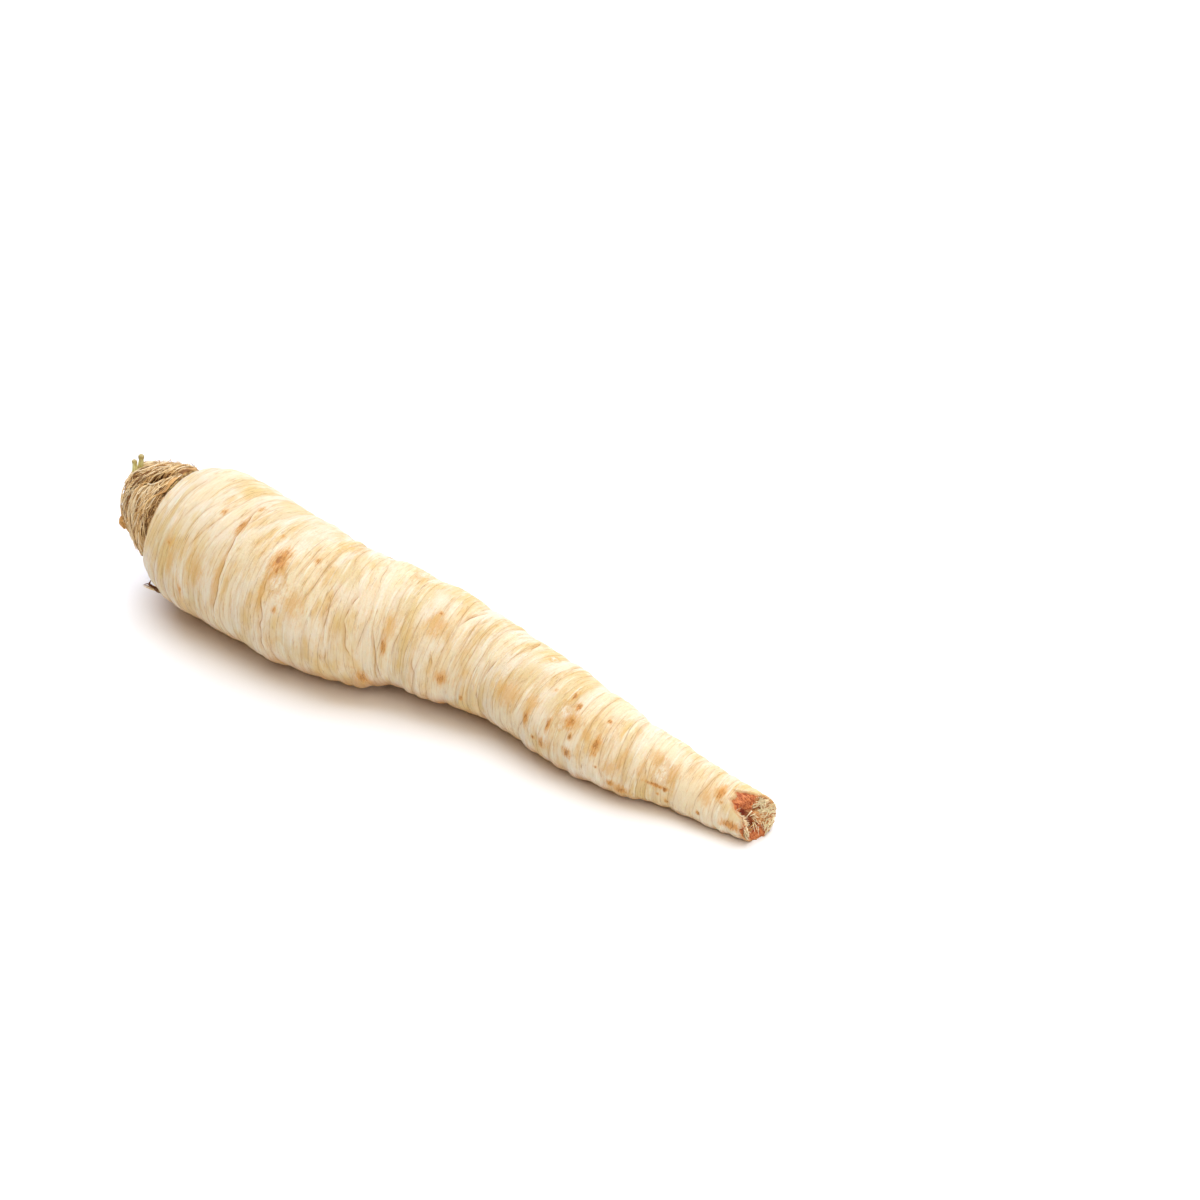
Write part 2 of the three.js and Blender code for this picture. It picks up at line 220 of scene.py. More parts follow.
# Thickness and lightness of the rootlet's strands, and their points in mm from its foot on the skin.
ROOTLET_STRANDS = [
    (0.8, 0.3, [(0.6, 0.1, 0.0), (-0.4, -0.5, 0.2), (-1.0, -0.8, 0.4), (-1.7, -1.0, 0.6)]),
    (
        0.38,
        0.1,
        [(-0.7, -0.4, 0.5), (-1.7, -0.8, 0.8), (-2.5, -1.0, 1.2), (-3.3, -1.3, 1.5), (-4.3, -2.2, 1.2)],
    ),
    (0.3, 0.1, [(-2.9, -1.1, 1.3), (-2.9, -0.7, 1.8), (-2.8, -0.2, 2.4)]),
    (0.26, 0.4, [(-1.0, -0.7, 0.4), (-2.2, -1.2, 0.8), (-3.3, -1.7, 1.1), (-4.2, -2.2, 1.2)]),
    (0.26, 1.0, [(-1.1, -1.0, 0.2), (-2.1, -1.4, 0.4), (-3.0, -1.8, 0.7), (-4.1, -2.3, 1.0)]),
]

# ---- Shape helpers ----


def cosine(degrees):
    return np.cos(np.radians(degrees))


def sine(degrees):
    return np.sin(np.radians(degrees))


def read(table, place):
    """A table of two columns, read at places along its first one."""
    return np.interp(place, *zip(*table))


def smooth_at(table, column, place):
    """A smooth curve through a table's rows, read at places along its first column."""
    rows = np.array(table, float)
    at, value = rows[:, 0], rows[:, column]
    last = len(at) - 1
    before = np.maximum(np.arange(last + 1) - 1, 0)
    after = np.minimum(np.arange(last + 1) + 1, last)
    slope = (value[after] - value[before]) / (at[after] - at[before])
    place = np.asarray(place, float)
    i = np.clip(np.searchsorted(at, place) - 1, 0, last - 1)
    span = at[i + 1] - at[i]
    t = (place - at[i]) / span
    bend = value[i] + (value[i + 1] - value[i]) * t * t * (3 - 2 * t)
    return bend + t * (1 - t) ** 2 * slope[i] * span + t * t * (t - 1) * slope[i + 1] * span


def smooth_path(points, steps):
    """A smooth curve through a few points: its columns at even steps, and how far along these are."""
    given = np.array(points, float)
    at = np.linspace(0, len(given) - 1, steps)
    return [smooth_at(list(enumerate(column)), 1, at) for column in given.T], at / at[-1]


def bell(distance, half_width):
    return np.exp(-((distance / half_width) ** 2))


def turn_between(a, b):
    """The shorter way round from one angle to another, in degrees."""
    return (a - b + 540) % 360 - 180


def ramp(value, low, high):
    """0 below low, 1 above high, smooth between."""
    t = np.clip((value - low) / (high - low), 0, 1)
    return t * t * (3 - 2 * t)


class Noise:
    """Smooth random field in space, from about -1 to 1, the same on every run."""

    def __init__(self, seed):
        source = np.random.default_rng(seed)
        self.order = source.permutation(256)
        slopes = source.normal(size=(256, 3))
        self.slopes = slopes / np.linalg.norm(slopes, axis=1, keepdims=True)

    def at(self, points, scale):
        """The field at points divided by a scale along each axis."""
        points = np.asarray(points, float) / np.asarray(scale, float)
        cell = np.floor(points).astype(int)
        inside = points - cell
        fade = inside**3 * (inside * (inside * 6 - 15) + 10)
        total = np.zeros(points.shape[:-1])
        for corner in itertools.product((0, 1), repeat=3):
            key = 0
            for axis in range(3):
                key = self.order[(key + cell[..., axis] + corner[axis]) & 255]
            slope = (self.slopes[key] * (inside - corner)).sum(-1)
            weight = np.prod(np.where(corner, fade, 1 - fade), axis=-1)
            total += slope * weight
        return total * 1.6


# ---- The root's own surface ----


def body_centre(place):
    radius = smooth_at(BODY_PROFILE, 1, place)
    sideways = smooth_at(BODY_PROFILE, 2, place)
    clearance = np.maximum(smooth_at(BODY_PROFILE, 3, place), 0)
    return np.stack([place + 0 * radius, sideways, radius + clearance - REST_FLAT_DEPTH], -1)


def body_frame(place):
    """Directions along the root, sideways and up, square to its centre line."""
    along = body_centre(place + 0.5) - body_centre(np.maximum(place - 0.5, 0))
    along /= np.linalg.norm(along, axis=-1, keepdims=True)
    sideways = np.cross([0, 0, 1], along)
    sideways /= np.linalg.norm(sideways, axis=-1, keepdims=True)
    return along, sideways, np.cross(along, sideways)


def section_point(place, radius, angle):
    """A point at a distance from the centre line and an angle round it. The crown goes straight on."""
    on_root = np.maximum(place, 0)
    along, sideways, up = body_frame(on_root)
    point = body_centre(on_root) + along * np.minimum(place, 0)[..., None]
    point = point + sideways * (radius * cosine(angle))[..., None] + up * (radius * sine(angle))[..., None]
    point[..., 2] = np.maximum(point[..., 2], 0)
    return point


def main_radius(place, angle):
    """The root's radius with its large rings and lumps."""
    turn = OVAL_TURN * place / SKIN_LENGTH
    radius = smooth_at(BODY_PROFILE, 1, place) * (1 + SECTION_OVAL * cosine(2 * (angle - turn)))
    shape = radius.copy()
    for start, depth, half in RINGS:
        shape -= depth * bell(place - start, half)
    for start, towards, height, half_length, half_width in LUMPS:
        across = np.radians(turn_between(angle, towards)) * radius
        shape += height * bell(place - start, half_length) * bell(across, half_width)
    return shape


def straightened(place, angle, radius):
    """The root's surface as if its centre line were straight, so that patterns follow the root."""
    return np.stack([place, radius * cosine(angle), radius * sine(angle)], -1)


def tail_reach(angle):
    """How far the CAD's skin reaches at an angle round the broken tail."""
    facing = 0.5 + 0.5 * cosine(angle - TEAR_ANGLE)
    teeth = sine(5 * angle) * 0.6 + sine(11 * angle + 40) * 0.4
    return SKIN_LENGTH - TEAR_SLANT * facing - TEAR_RAGGED * (1 + teeth)


def torn_reach(angle):
    """How far the skin reaches round the tail as it really tore, with small teeth."""
    turned = np.radians(angle)
    teeth = 0.16 * np.sin(17 * turned) + 0.1 * np.sin(31 * turned + 1) + 0.08 * np.sin(53 * turned + 2)
    return SKIN_LENGTH - read(TORN_EDGE, np.mod(angle, 360)) - 0.3 + teeth


def seam_place(angle):
    """Where the collar ends and the skin begins."""
    return SEAM_SLANT * cosine(angle - SEAM_ANGLE)


def collar_point(height, radius, angle):
    """A point of the collar, which swells and stands higher on its upper side."""
    swell = 1 + COLLAR_BULGE * np.maximum(cosine(angle - COLLAR_BULGE_ANGLE), 0) ** 2
    for towards, half_width, low, high, share in COLLAR_SWELLS:
        swell = swell + share * bell(turn_between(angle, towards), half_width) * ramp(height, low, high)
    rise = COLLAR_LEAN * height * sine(angle) - seam_place(angle) * (1 - ramp(height, 1, 6))
    return section_point(-height - rise, radius * swell, angle)


def frame_offset():
    """What moves the root's own millimetres to the frame: its box is compared with the CAD's root."""
    place, angle = np.meshgrid(np.linspace(0, 1, 400), np.arange(0, 360, 3.0), indexing="ij")
    place = place * tail_reach(angle)
    skin = section_point(place, main_radius(place, angle), angle)
    low, high = (np.array(corner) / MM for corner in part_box("taproot"))
    middle = (skin[..., 1].min() + skin[..., 1].max()) / 2
    return np.array([high[0] - skin[..., 0].max(), (low[1] + high[1]) / 2 - middle, 0])


OFFSET = frame_offset()


# ---- Meshes ----


def round_grid(rows, columns):
    """A value for each row of a grid that goes round, and an angle for each column."""
    return np.meshgrid(rows, np.linspace(0, 360, columns, endpoint=False), indexing="ij")


def grid_faces(rows, columns):
    """Quads between neighbouring rows of a grid of vertices that goes round."""
    row = np.arange(rows - 1)[:, None] * columns
    side = np.arange(columns)[None, :]
    after = (side + 1) % columns
    quads = np.stack([row + side, row + after, row + columns + after, row + columns + side], -1)
    return quads.reshape(-1, 4)


def capped_faces(rows, columns):
    """Quads of rows that go round, closed by fans onto two more vertices that follow the grid."""
    start = rows * columns
    last = start - columns
    faces = grid_faces(rows, columns).tolist()
    for side in range(columns):
        after = (side + 1) % columns
        faces.append([start, after, side])
        faces.append([start + 1, last + side, last + after])
    return faces


def with_ends(grid):
    """A grid's points and, after them, the middles of its first and last rows."""
    return np.concatenate([grid.reshape(-1, 3), [grid[0].mean(0), grid[-1].mean(0)]])


def add_object(name, data):
    thing = bpy.data.objects.new(name, data)
    bpy.context.scene.collection.objects.link(thing)
    return thing


def make_piece(name, points, faces, material, node):
    """A mesh piece in the frame from points in the root's millimetres, standing for a CAD node."""
    low, high = (np.array(corner) for corner in CAD_BOX)
    placed = np.clip((points.reshape(-1, 3) + OFFSET) * MM, low, high)
    mesh = bpy.data.meshes.new(name)
    mesh.from_pydata(placed.tolist(), [], faces)
    mesh.shade_smooth()
    mesh.materials.append(material)
    piece = add_object(name, mesh)
    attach(piece, "root")
    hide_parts(node)
    return piece


def give(piece, name, parts, kind="FLOAT"):
    """Stores a value for each vertex, part by part, for the piece's material to read."""
    field = {"FLOAT": "value", "FLOAT_VECTOR": "vector"}[kind]
    attribute = piece.data.attributes.new(name, kind, "POINT")
    values = np.concatenate([np.ravel(part) for part in parts])
    attribute.data.foreach_set(field, values.astype(np.float32))


class Pile:
    """Shapes gathered into one mesh, each with values that the mesh's material reads."""

    def __init__(self):
        self.points = []
        self.faces = []
        self.values = {}
        self.count = 0

    def add(self, points, faces, **values):
        points = np.reshape(points, (-1, 3))
        self.points.append(points)
        self.faces += [[index + self.count for index in face] for face in faces]
        self.count += len(points)
        for name, value in values.items():
            self.values.setdefault(name, []).append(np.broadcast_to(np.ravel(value), (len(points),)))

    def piece(self, name, material, slot, node):
        piece = make_piece(name, np.concatenate(self.points), self.faces, material, node)
        for fact, parts in self.values.items():
            give(piece, fact, parts)
        return piece


def tube(path, radii, outward, sides, flat=1.0):
    """A strand along a path with closed ends. Outward is the side that faces away from the root."""
    along = np.gradient(path, axis=0)
    along /= np.linalg.norm(along, axis=1, keepdims=True)
    across = np.cross(along, outward)
    across /= np.linalg.norm(across, axis=1, keepdims=True)
    rise = np.cross(across, along)
    turn = np.linspace(0, 2 * math.pi, sides, endpoint=False)[None, :, None]
    ring = across[:, None] * np.cos(turn) * flat - rise[:, None] * np.sin(turn)
    rows = path[:, None] + ring * np.asarray(radii)[:, None, None]
    points = np.concatenate([rows.reshape(-1, 3), path[:1], path[-1:]])
    return points, capped_faces(len(path), sides)


def closed_curve(outline, count):
    """Evenly spaced points round a closed outline whose corners are rounded a little."""
    corners = np.array(outline, float)
    for _ in range(2):
        after = np.roll(corners, -1, axis=0)
        corners = np.stack([corners * 0.75 + after * 0.25, corners * 0.25 + after * 0.75], 1).reshape(-1, 2)
    loop = np.concatenate([corners, corners[:1]])
    reach = np.concatenate([[0], np.cumsum(np.linalg.norm(np.diff(loop, axis=0), axis=1))])
    at = np.linspace(0, reach[-1], count, endpoint=False)
    return np.stack([np.interp(at, reach, loop[:, 0]), np.interp(at, reach, loop[:, 1])], -1)


# ---- Materials ----


def rgb(red, green, blue):
    """A colour given in display values from 0 to 255."""
    shares = np.array([red, green, blue]) / 255
    linear = np.where(shares <= 0.04045, shares / 12.92, ((shares + 0.055) / 1.055) ** 2.4)
    return (*linear.tolist(), 1.0)


class Nodes:
    """A short way to build a material's nodes. A value is a number, a colour or another node's output."""

    def __init__(self, name):
        self.material = bpy.data.materials.new(name)
        self.material.use_nodes = True
        self.tree = self.material.node_tree

    def plug(self, socket, value):
        if isinstance(value, bpy.types.NodeSocket):
            self.tree.links.new(value, socket)
        else:
            socket.default_value = value

    def node(self, kind, inputs, output=0, **settings):
        """Adds a node, fills or links its inputs and gives back one of its outputs."""
        node = self.tree.nodes.new("ShaderNode" + kind)
        for name, value in settings.items():
            setattr(node, name, value)
        for key, value in inputs.items():
            self.plug(node.inputs[key], value)
        return node.outputs[output]

    def math(self, operation, *values):
        return self.node("Math", dict(enumerate(values)), operation=operation)

    def plus(self, first, second):
        return self.math("ADD", first, second)

    def times(self, first, second):
        return self.math("MULTIPLY", first, second)

    def swing(self, noise, width):
        """A noise moved to swing about 0 over a width."""
        return self.times(self.math("SUBTRACT", noise, 0.5), width)

    def attribute(self, name, output="Fac"):
        return self.node("Attribute", {}, output, attribute_name=name)

    def position(self):
        """Places in the piece's own metres."""
        return self.node("TexCoord", {}, "Object")

    def noise(self, vector, scale, detail=3.0, roughness=0.5):
        """A noise whose grain is finer along an axis the larger the scale is there."""
        place = self.node("VectorMath", {0: vector, 1: scale}, operation="MULTIPLY")
        inputs = {"Vector": place, "Scale": 1.0, "Detail": detail, "Roughness": roughness}
        return self.node("TexNoise", inputs, "Fac")

    def between(self, value, low, high):
        """0 at low, 1 at high, smooth between."""
        inputs = {"Value": value, "From Min": low, "From Max": high}
        return self.node("MapRange", inputs, "Result", interpolation_type="SMOOTHSTEP")

    def mix(self, share, first, second):
        return self.node("Mix", {0: share, 6: first, 7: second}, 2, data_type="RGBA")

    def paint(self, colour, *layers):
        """A colour with layers over it, each given as where it lies, how strong it is and its colour."""
        for share, strength, paint in layers:
            colour = self.mix(self.times(share, strength), colour, paint)
        return colour

    def bump(self, height, depth):
        return self.node("Bump", {"Strength": 1.0, "Distance": depth, "Height": height}, "Normal")

    def surface(self, settings):
        """Gives the shader's sockets their values or the outputs of other nodes, and ends the material."""
        shader = self.tree.nodes["Principled BSDF"]
        for name, value in settings.items():
            self.plug(shader.inputs[name], value)
        return self.material


# ---- What marks the skin: places and sizes in millimetres, angles in degrees ----

# Thin cracks round the root: strength, and the points that each one runs through (place, angle).
CRACKS = [
    (0.4, [(18, 173), (19.5, 185), (21, 191)]),
    (0.5, [(23, 108), (26, 90), (27, 84)]),
    (0.6, [(26.5, 110), (24.5, 114), (23.5, 118)]),
    (0.5, [(22.5, 120), (22.5, 130), (23, 140)]),
    (0.9, [(29.5, 84), (31.5, 102), (32.2, 123), (33.1, 142), (33.6, 156), (33.9, 168), (33.4, 186)]),
    (0.4, [(38.5, 136), (38, 160), (38.8, 182)]),
    (0.9, [(46.8, 134), (47, 152), (47.9, 166), (48.2, 190), (48.5, 209)]),
    (0.6, [(64.5, 106), (62.9, 122), (62.2, 138), (62.2, 155), (62.9, 178), (63.6, 198)]),
    (0.8, [(69, 114), (67.5, 129), (66.5, 146), (67.5, 154), (68, 172), (69, 181)]),
    (0.4, [(67.5, 92), (67, 100), (66.2, 116)]),
    (0.6, [(75.6, 126), (76.1, 132), (77.3, 148)]),
    (0.8, [(74.3, 148), (75, 160), (75.6, 172), (77.4, 188), (78.2, 206)]),
    (0.6, [(87.2, 150), (87.9, 174), (89, 190)]),
    (0.9, [(91.2, 147), (92.4, 158), (93, 174)]),
    (1.0, [(94.8, 112), (95.5, 104), (96.8, 85), (98, 66)]),
    (0.8, [(98.5, 104), (100.3, 82)]),
    (0.7, [(108.4, 154), (109, 138), (109.7, 114)]),
    (0.9, [(115.2, 97), (114.5, 74), (113, 55)]),
    (0.5, [(119.5, 152), (120, 176)]),
    (0.6, [(122.2, 128), (122.6, 148), (122, 170)]),
    (0.5, [(140.6, 118), (141.5, 140)]),
    (0.6, [(144.8, 178), (145, 202)]),
    (0.5, [(149.8, 138), (149.8, 158), (150.1, 176)]),
    (0.8, [(144, 92), (144, 110)]),
    (1.0, [(155.7, 132), (156.6, 150), (157.4, 165)]),
    (0.5, [(170.1, 110), (171.1, 142)]),
    (0.6, [(178.5, 120), (178.2, 150)]),
]
# Orange-brown scars of old side roots: place, angle, half length, half width round the root, strength.
SCARS = [
    (13.4, 151, 0.5, 0.5, 0.7), (20.8, 183, 0.5, 1.8, 0.7), (24, 108, 0.6, 0.9, 0.7),
    (30.8, 88, 0.7, 1.1, 0.6), (31.3, 110, 0.9, 2.3, 0.8), (43, 99, 0.4, 0.5, 0.5),
    (47.1, 120, 1.5, 3.2, 1.0), (50.5, 158, 0.5, 0.9, 0.6), (51.2, 220, 0.7, 0.9, 0.9),
    (54.4, 104, 0.7, 1.0, 0.8), (69, 53, 0.7, 0.8, 0.7), (71, 207, 1.3, 2.4, 0.9),
    (78.5, 162, 0.8, 1.9, 0.9), (89.7, 108, 0.5, 0.5, 0.6), (95.8, 174, 1.2, 1.4, 0.5),
    (102.6, 187, 0.5, 0.7, 1.0), (125.6, 160, 0.5, 1.9, 1.0), (128.4, 112, 0.4, 0.6, 0.5),
    (133.2, 104, 0.5, 1.3, 0.8), (135.7, 114, 0.6, 1.0, 0.7), (136, 136, 0.9, 1.6, 1.0),
    (131.5, 152, 0.6, 2.0, 0.6), (137.7, 176, 1.1, 1.3, 0.9), (128, 180, 0.5, 0.6, 1.0),
    (130.6, 182, 0.6, 1.4, 1.0), (137.5, 152, 0.7, 0.9, 0.6), (144.1, 146, 0.7, 2.3, 0.8),
    (145.3, 174, 0.3, 0.3, 0.9), (144, 109, 0.4, 0.5, 0.9), (148.8, 194, 0.7, 0.9, 1.0),
    (151.6, 201, 1.5, 1.2, 0.7), (160, 163, 2.8, 0.4, 1.0), (162.8, 164, 0.7, 0.6, 1.0),
    (161.2, 178, 0.4, 0.4, 0.7), (163.7, 193, 0.6, 0.7, 0.8), (172.6, 181, 0.5, 0.6, 0.9),
    (176.4, 119, 0.8, 1.6, 0.9), (177.4, 138, 0.5, 0.5, 0.8), (181.6, 178, 2.4, 1.1, 0.9),
]  # fmt: skip
# Soft yellow to orange patches, written as the scars are.
STAINS = [
    (14, 150, 1.8, 2.2, 0.6), (15.8, 164, 1.6, 4.5, 0.7), (25.5, 160, 3.5, 6.0, 0.5),
    (32.6, 162, 1.0, 8.0, 0.8), (46.5, 148, 0.9, 6.0, 0.7), (54.3, 147, 3.0, 5.0, 0.5),
    (60, 69, 3.5, 4.0, 0.6), (79, 141, 2.4, 4.0, 0.6), (90, 122, 3.0, 4.0, 0.6), (96, 172, 2.4, 3.0, 0.6),
    (118, 147, 4.0, 3.6, 1.0), (125.6, 141, 1.4, 2.4, 0.9), (131, 180, 3.0, 2.6, 0.6),
    (137, 133, 2.6, 3.0, 0.7), (141, 139, 1.5, 1.8, 0.7), (144, 147, 1.3, 3.2, 0.6),
    (148.1, 168, 1.6, 2.4, 0.9), (150, 152, 0.8, 4.0, 0.6), (151, 199, 3.2, 2.0, 0.7),
    (154.9, 148, 1.0, 3.0, 0.5), (157.7, 121, 1.7, 2.2, 1.0), (163.5, 134, 1.8, 3.2, 0.8),
    (173.6, 141, 1.8, 2.2, 1.0), (176.4, 120, 1.7, 2.6, 0.9),
]  # fmt: skip
# Pale, rough spots where the skin has peeled, written as the scars are.
PEELS = [
    (48.7, 136, 1.7, 3.2, 1.0), (78.8, 62, 1.8, 4.8, 1.0), (120.2, 73, 1.4, 1.6, 0.8),
    (133.6, 128, 2.2, 3.0, 0.7), (134.3, 147, 0.9, 1.0, 0.9), (160.4, 142, 2.4, 3.4, 0.9),
]  # fmt: skip
# Marks of the same kinds are scattered over the far side, between these angles.
HIDDEN_SIDE = (232, 402)
HIDDEN_CRACKS = 60
HIDDEN_SPOTS = 22
HIDDEN_SEED = 61
# Each kind of spot, and the size and number of those that are scattered.
SPOTS = [
    (SCARS, 0.7, 1.5, HIDDEN_SPOTS),
    (STAINS, 1.8, 3.0, HIDDEN_SPOTS),
    (PEELS, 1.2, 2.0, HIDDEN_SPOTS // 4),
]
CRACK_REACH = 1.6
FAR_FROM_MARK = -1.0

FOLD_SPACING = 4.6
FINE_FOLD_SPACING = 1.9
# The side where the folds are deeper: its angle, and half its width in degrees.
DEEP_FOLDS = (215, 40)
UNDERSIDE = 270

BODY_ROWS = 600
BODY_COLUMNS = 144
COLUMN_SHIFT = 14  # how far columns are moved towards the near side, in degrees
STEM_ROWS = 28
BREAK_ROWS = 44

FOLDS = Noise(11)
FINE_FOLDS = Noise(12)
UNEVEN = Noise(13)
GRAIN = Noise(14)


def hidden_cracks(source):
    cracks = []
    for _ in range(HIDDEN_CRACKS):
        place, angle = source.uniform(8, SKIN_LENGTH - 12), source.uniform(*HIDDEN_SIDE)
        span, lean = source.uniform(12, 50), source.normal(0, 0.8)
        points = []
        for share in (-0.5, 0, 0.5):
            points.append((place + lean * share + source.normal(0, 0.3), angle + span * share))
        cracks.append((source.uniform(0.4, 1.0), points))
    return cracks


def hidden_spots(source, long, wide, count):
    spots = []
    for _ in range(count):
        size = source.uniform(0.6, 1.5)
        place, angle = source.uniform(8, SKIN_LENGTH - 8), source.uniform(*HIDDEN_SIDE)
        spots.append((place, angle, size * long, size * wide, source.uniform(0.5, 1.0)))
    return spots


def crack_lines(cracks, place, angle, radius, wobble):
    """The signed distance along the root to the nearest crack at each point, and how deep that crack is."""
    nearest = np.full(place.shape, CRACK_REACH)
    depth = np.zeros(place.shape)
    for strength, points in cracks:
        at, towards = np.array(sorted(points, key=lambda point: point[1]), float).T
        middle = towards.mean()
        turned = turn_between(angle, middle)
        line = np.interp(turned, towards - middle, at)
        beyond = np.radians(np.abs(turned) - np.ptp(towards) / 2) * radius
        fade = 1 - ramp(beyond, -4, 1)
        away = place - line - wobble
        closer = (np.abs(away) < np.abs(nearest)) & (fade > 0)
        nearest = np.where(closer, away, nearest)
        depth = np.where(closer, strength * fade, depth)
    return nearest, depth * (1 - ramp(np.abs(nearest), 0.6 * CRACK_REACH, CRACK_REACH))


def spot_depths(spots, place, angle, radius):
    """Each spot's strength in its middle, 0 at its edge, below 0 outside it."""
    nearest = np.full(place.shape, FAR_FROM_MARK)
    for at, towards, half_length, half_width, strength in spots:
        across = np.radians(turn_between(angle, towards)) * radius
        inside = 1 - np.hypot((place - at) / half_length, across / half_width)
        nearest = np.maximum(nearest, np.clip(inside, -1, 1) - (1 - strength) * 0.5)
    return nearest


def ring_folds(noise, straight, spacing):
    """Uneven folds round the root, from -1 to 1, with a crease wherever they pass 0."""
    drift = noise.at(straight, (4 * spacing, 30, 30)) + 0.1 * noise.at(straight, (2 * spacing, 6, 6))
    return np.sin(math.pi * (straight[..., 0] / spacing + drift))


def skin_facts(place, angle, radius):
    """What the skin's relief and its material need to know of each point."""
    source = np.random.default_rng(HIDDEN_SEED)
    straight = straightened(place, angle, radius)
    broken = 0.65 + 0.5 * GRAIN.at(straight, (4, 2.6, 2.6))
    wobble = 0.5 * UNEVEN.at(straight, (9, 4, 4)) + 0.12 * GRAIN.at(straight, (5, 1.3, 1.3))
    cracks, crack_depth = crack_lines(CRACKS + hidden_cracks(source), place, angle, radius, wobble)
    scars, stains, peels = (
        spot_depths(spots + hidden_spots(source, long, wide, count), place, angle, radius)
        for spots, long, wide, count in SPOTS
    )
    round_underside = turn_between(angle, UNDERSIDE)
    return {
        "straight": straight,
        "crown": seam_place(angle) - place,
        "torn": place - torn_reach(angle),
        "folds": ring_folds(FOLDS, straight, FOLD_SPACING),
        "fine_folds": ring_folds(FINE_FOLDS, straight, FINE_FOLD_SPACING),
        "folded": ramp(GRAIN.at(straight, (9, 13, 13)), -0.25, 0.4),
        # painted shade: the underside is tinted warm brown between these angles, standing in for its shading
        "painted_underside_shade": ramp(round_underside, -72, -46) * ramp(-round_underside, -95, -60),
        "cracks": cracks,
        "crack_depth": np.clip(crack_depth * broken, 0, 1),
        "scars": scars,
        "stains": stains,
        "peels": peels,
    }


def skin_relief(facts, angle):
    """How far the skin stands off the root's main radius: folds, cracks, spots and the torn ends."""
    straight, cracks, scars, peels = (facts[name] for name in ("straight", "cracks", "scars", "peels"))
    grain = GRAIN.at(straight, (0.9, 1.4, 1.4))
    creased = ramp(-UNEVEN.at(straight, (14, 9, 9)), -0.3, 0.3)
    deep_side, half_width = DEEP_FOLDS
    deeper = 1 + 0.7 * bell(turn_between(angle, deep_side), half_width)
    relief = 0.14 * np.abs(GRAIN.at(straight, (1.5, 3.0, 3.0))) * creased
    relief += 0.3 * deeper * np.abs(facts["folds"]) * (0.4 + 0.6 * facts["folded"])
    relief += 0.07 * np.abs(facts["fine_folds"])
    relief = relief + 0.34 * UNEVEN.at(straight, (10, 10, 10)) - 0.22
    relief += facts["crack_depth"] * (0.14 * bell(cracks - 0.6, 0.7) - 0.28 * bell(cracks, 0.3))
    relief += ramp(scars, -0.3, 0.3) * (0.12 + 0.14 * grain) - 0.35 * ramp(scars, 0.1, 0.8)
    relief += ramp(peels, -0.1, 0.5) * (0.04 + 0.22 * grain)
    seam_edge = 0.7 * ramp(facts["crown"], -1.6, 0.1) * (0.6 + 0.5 * facts["fine_folds"] + 0.8 * grain)
    return relief - (seam_edge + 0.35 * ramp(facts["torn"], -0.8, 0.1))


def body_angles():
    """Angles round the root, closer together on the upper and the near side."""
    even = np.linspace(0, 360, BODY_COLUMNS, endpoint=False)
    return even - COLUMN_SHIFT * sine(even - NEAR_SIDE)


def crown_stem(angles):
    """The stem inside the collar, from its middle out to the trench below the seam."""
    stem = np.array(STEM_PROFILE[::-1], float)
    at = np.linspace(0, len(stem) - 1, STEM_ROWS)
    height, radius = (np.interp(at, np.arange(len(stem)), column) for column in stem.T)
    height, angle = np.meshgrid(height, angles, indexing="ij")
    radius = radius[:, None] + 0 * angle
    straight = straightened(-height, angle, radius)
    rough = 0.25 * FINE_FOLDS.at(straight, (0.8, 1.6, 1.6))
    bases = 0.55 * np.abs(np.sin(0.55 * math.pi * radius + 1.5 * UNEVEN.at(straight, (3, 3, 3))))
    bases = (bases + 0.5 * GRAIN.at(straight, (1, 0.9, 0.9))) * ramp(height, 8.5, 9.6)
    return collar_point(height - bases, radius + rough, angle), straight


def break_surface(sideways, up):
    """Across the break: the flesh's place along the root, how deep it is sunk and how orange it is."""
    facing = (sideways * cosine(TEAR_ANGLE) + up * sine(TEAR_ANGLE)) / TAIL_RADIUS
    sunk = np.zeros_like(facing)
    for at, height, half_width, half_height, slant, depth in BREAK_HOLLOWS:
        across = sideways - at - slant * (up - height)
        sunk += depth * bell(across, half_width) * bell(up - height, half_height)
    place = np.stack([0 * up, sideways, up], -1)
    lumps = UNEVEN.at(place, (1, 0.9, 0.9))
    rough = GRAIN.at(place, (1, 0.32, 0.32))
    flesh = SKIN_LENGTH - BREAK_DEPTH - BREAK_SLANT * facing - sunk + 0.6 * lumps + 0.35 * rough
    low = 0.9 * ramp(-up, 2.2, 4.2) * bell(sideways, 3.4)
    return flesh, sunk - 0.6 * rough, ramp(facing, -0.05, 0.35) + low + 0.35 * lumps


def torn_flesh(rim):
    """The break inside the skin's torn edge, row by row towards its middle."""
    middle = rim.mean(0)
    share = 1 - np.linspace(0, 1, BREAK_ROWS + 1)[1:-1, None] ** 0.8
    spread = rim[None] - middle
    sideways, up = spread[..., 1] * share, spread[..., 2] * share
    flesh, sunk, warm = break_surface(sideways, up)
    inward = ramp(1 - share, 0.02, 0.14)
    along = rim[None, :, 0] * (1 - inward) + np.minimum(flesh, rim[:, 0].max() + 0.2) * inward
    points = np.stack([along, middle[1] + sideways, middle[2] + up], -1)
    return points, sunk, warm


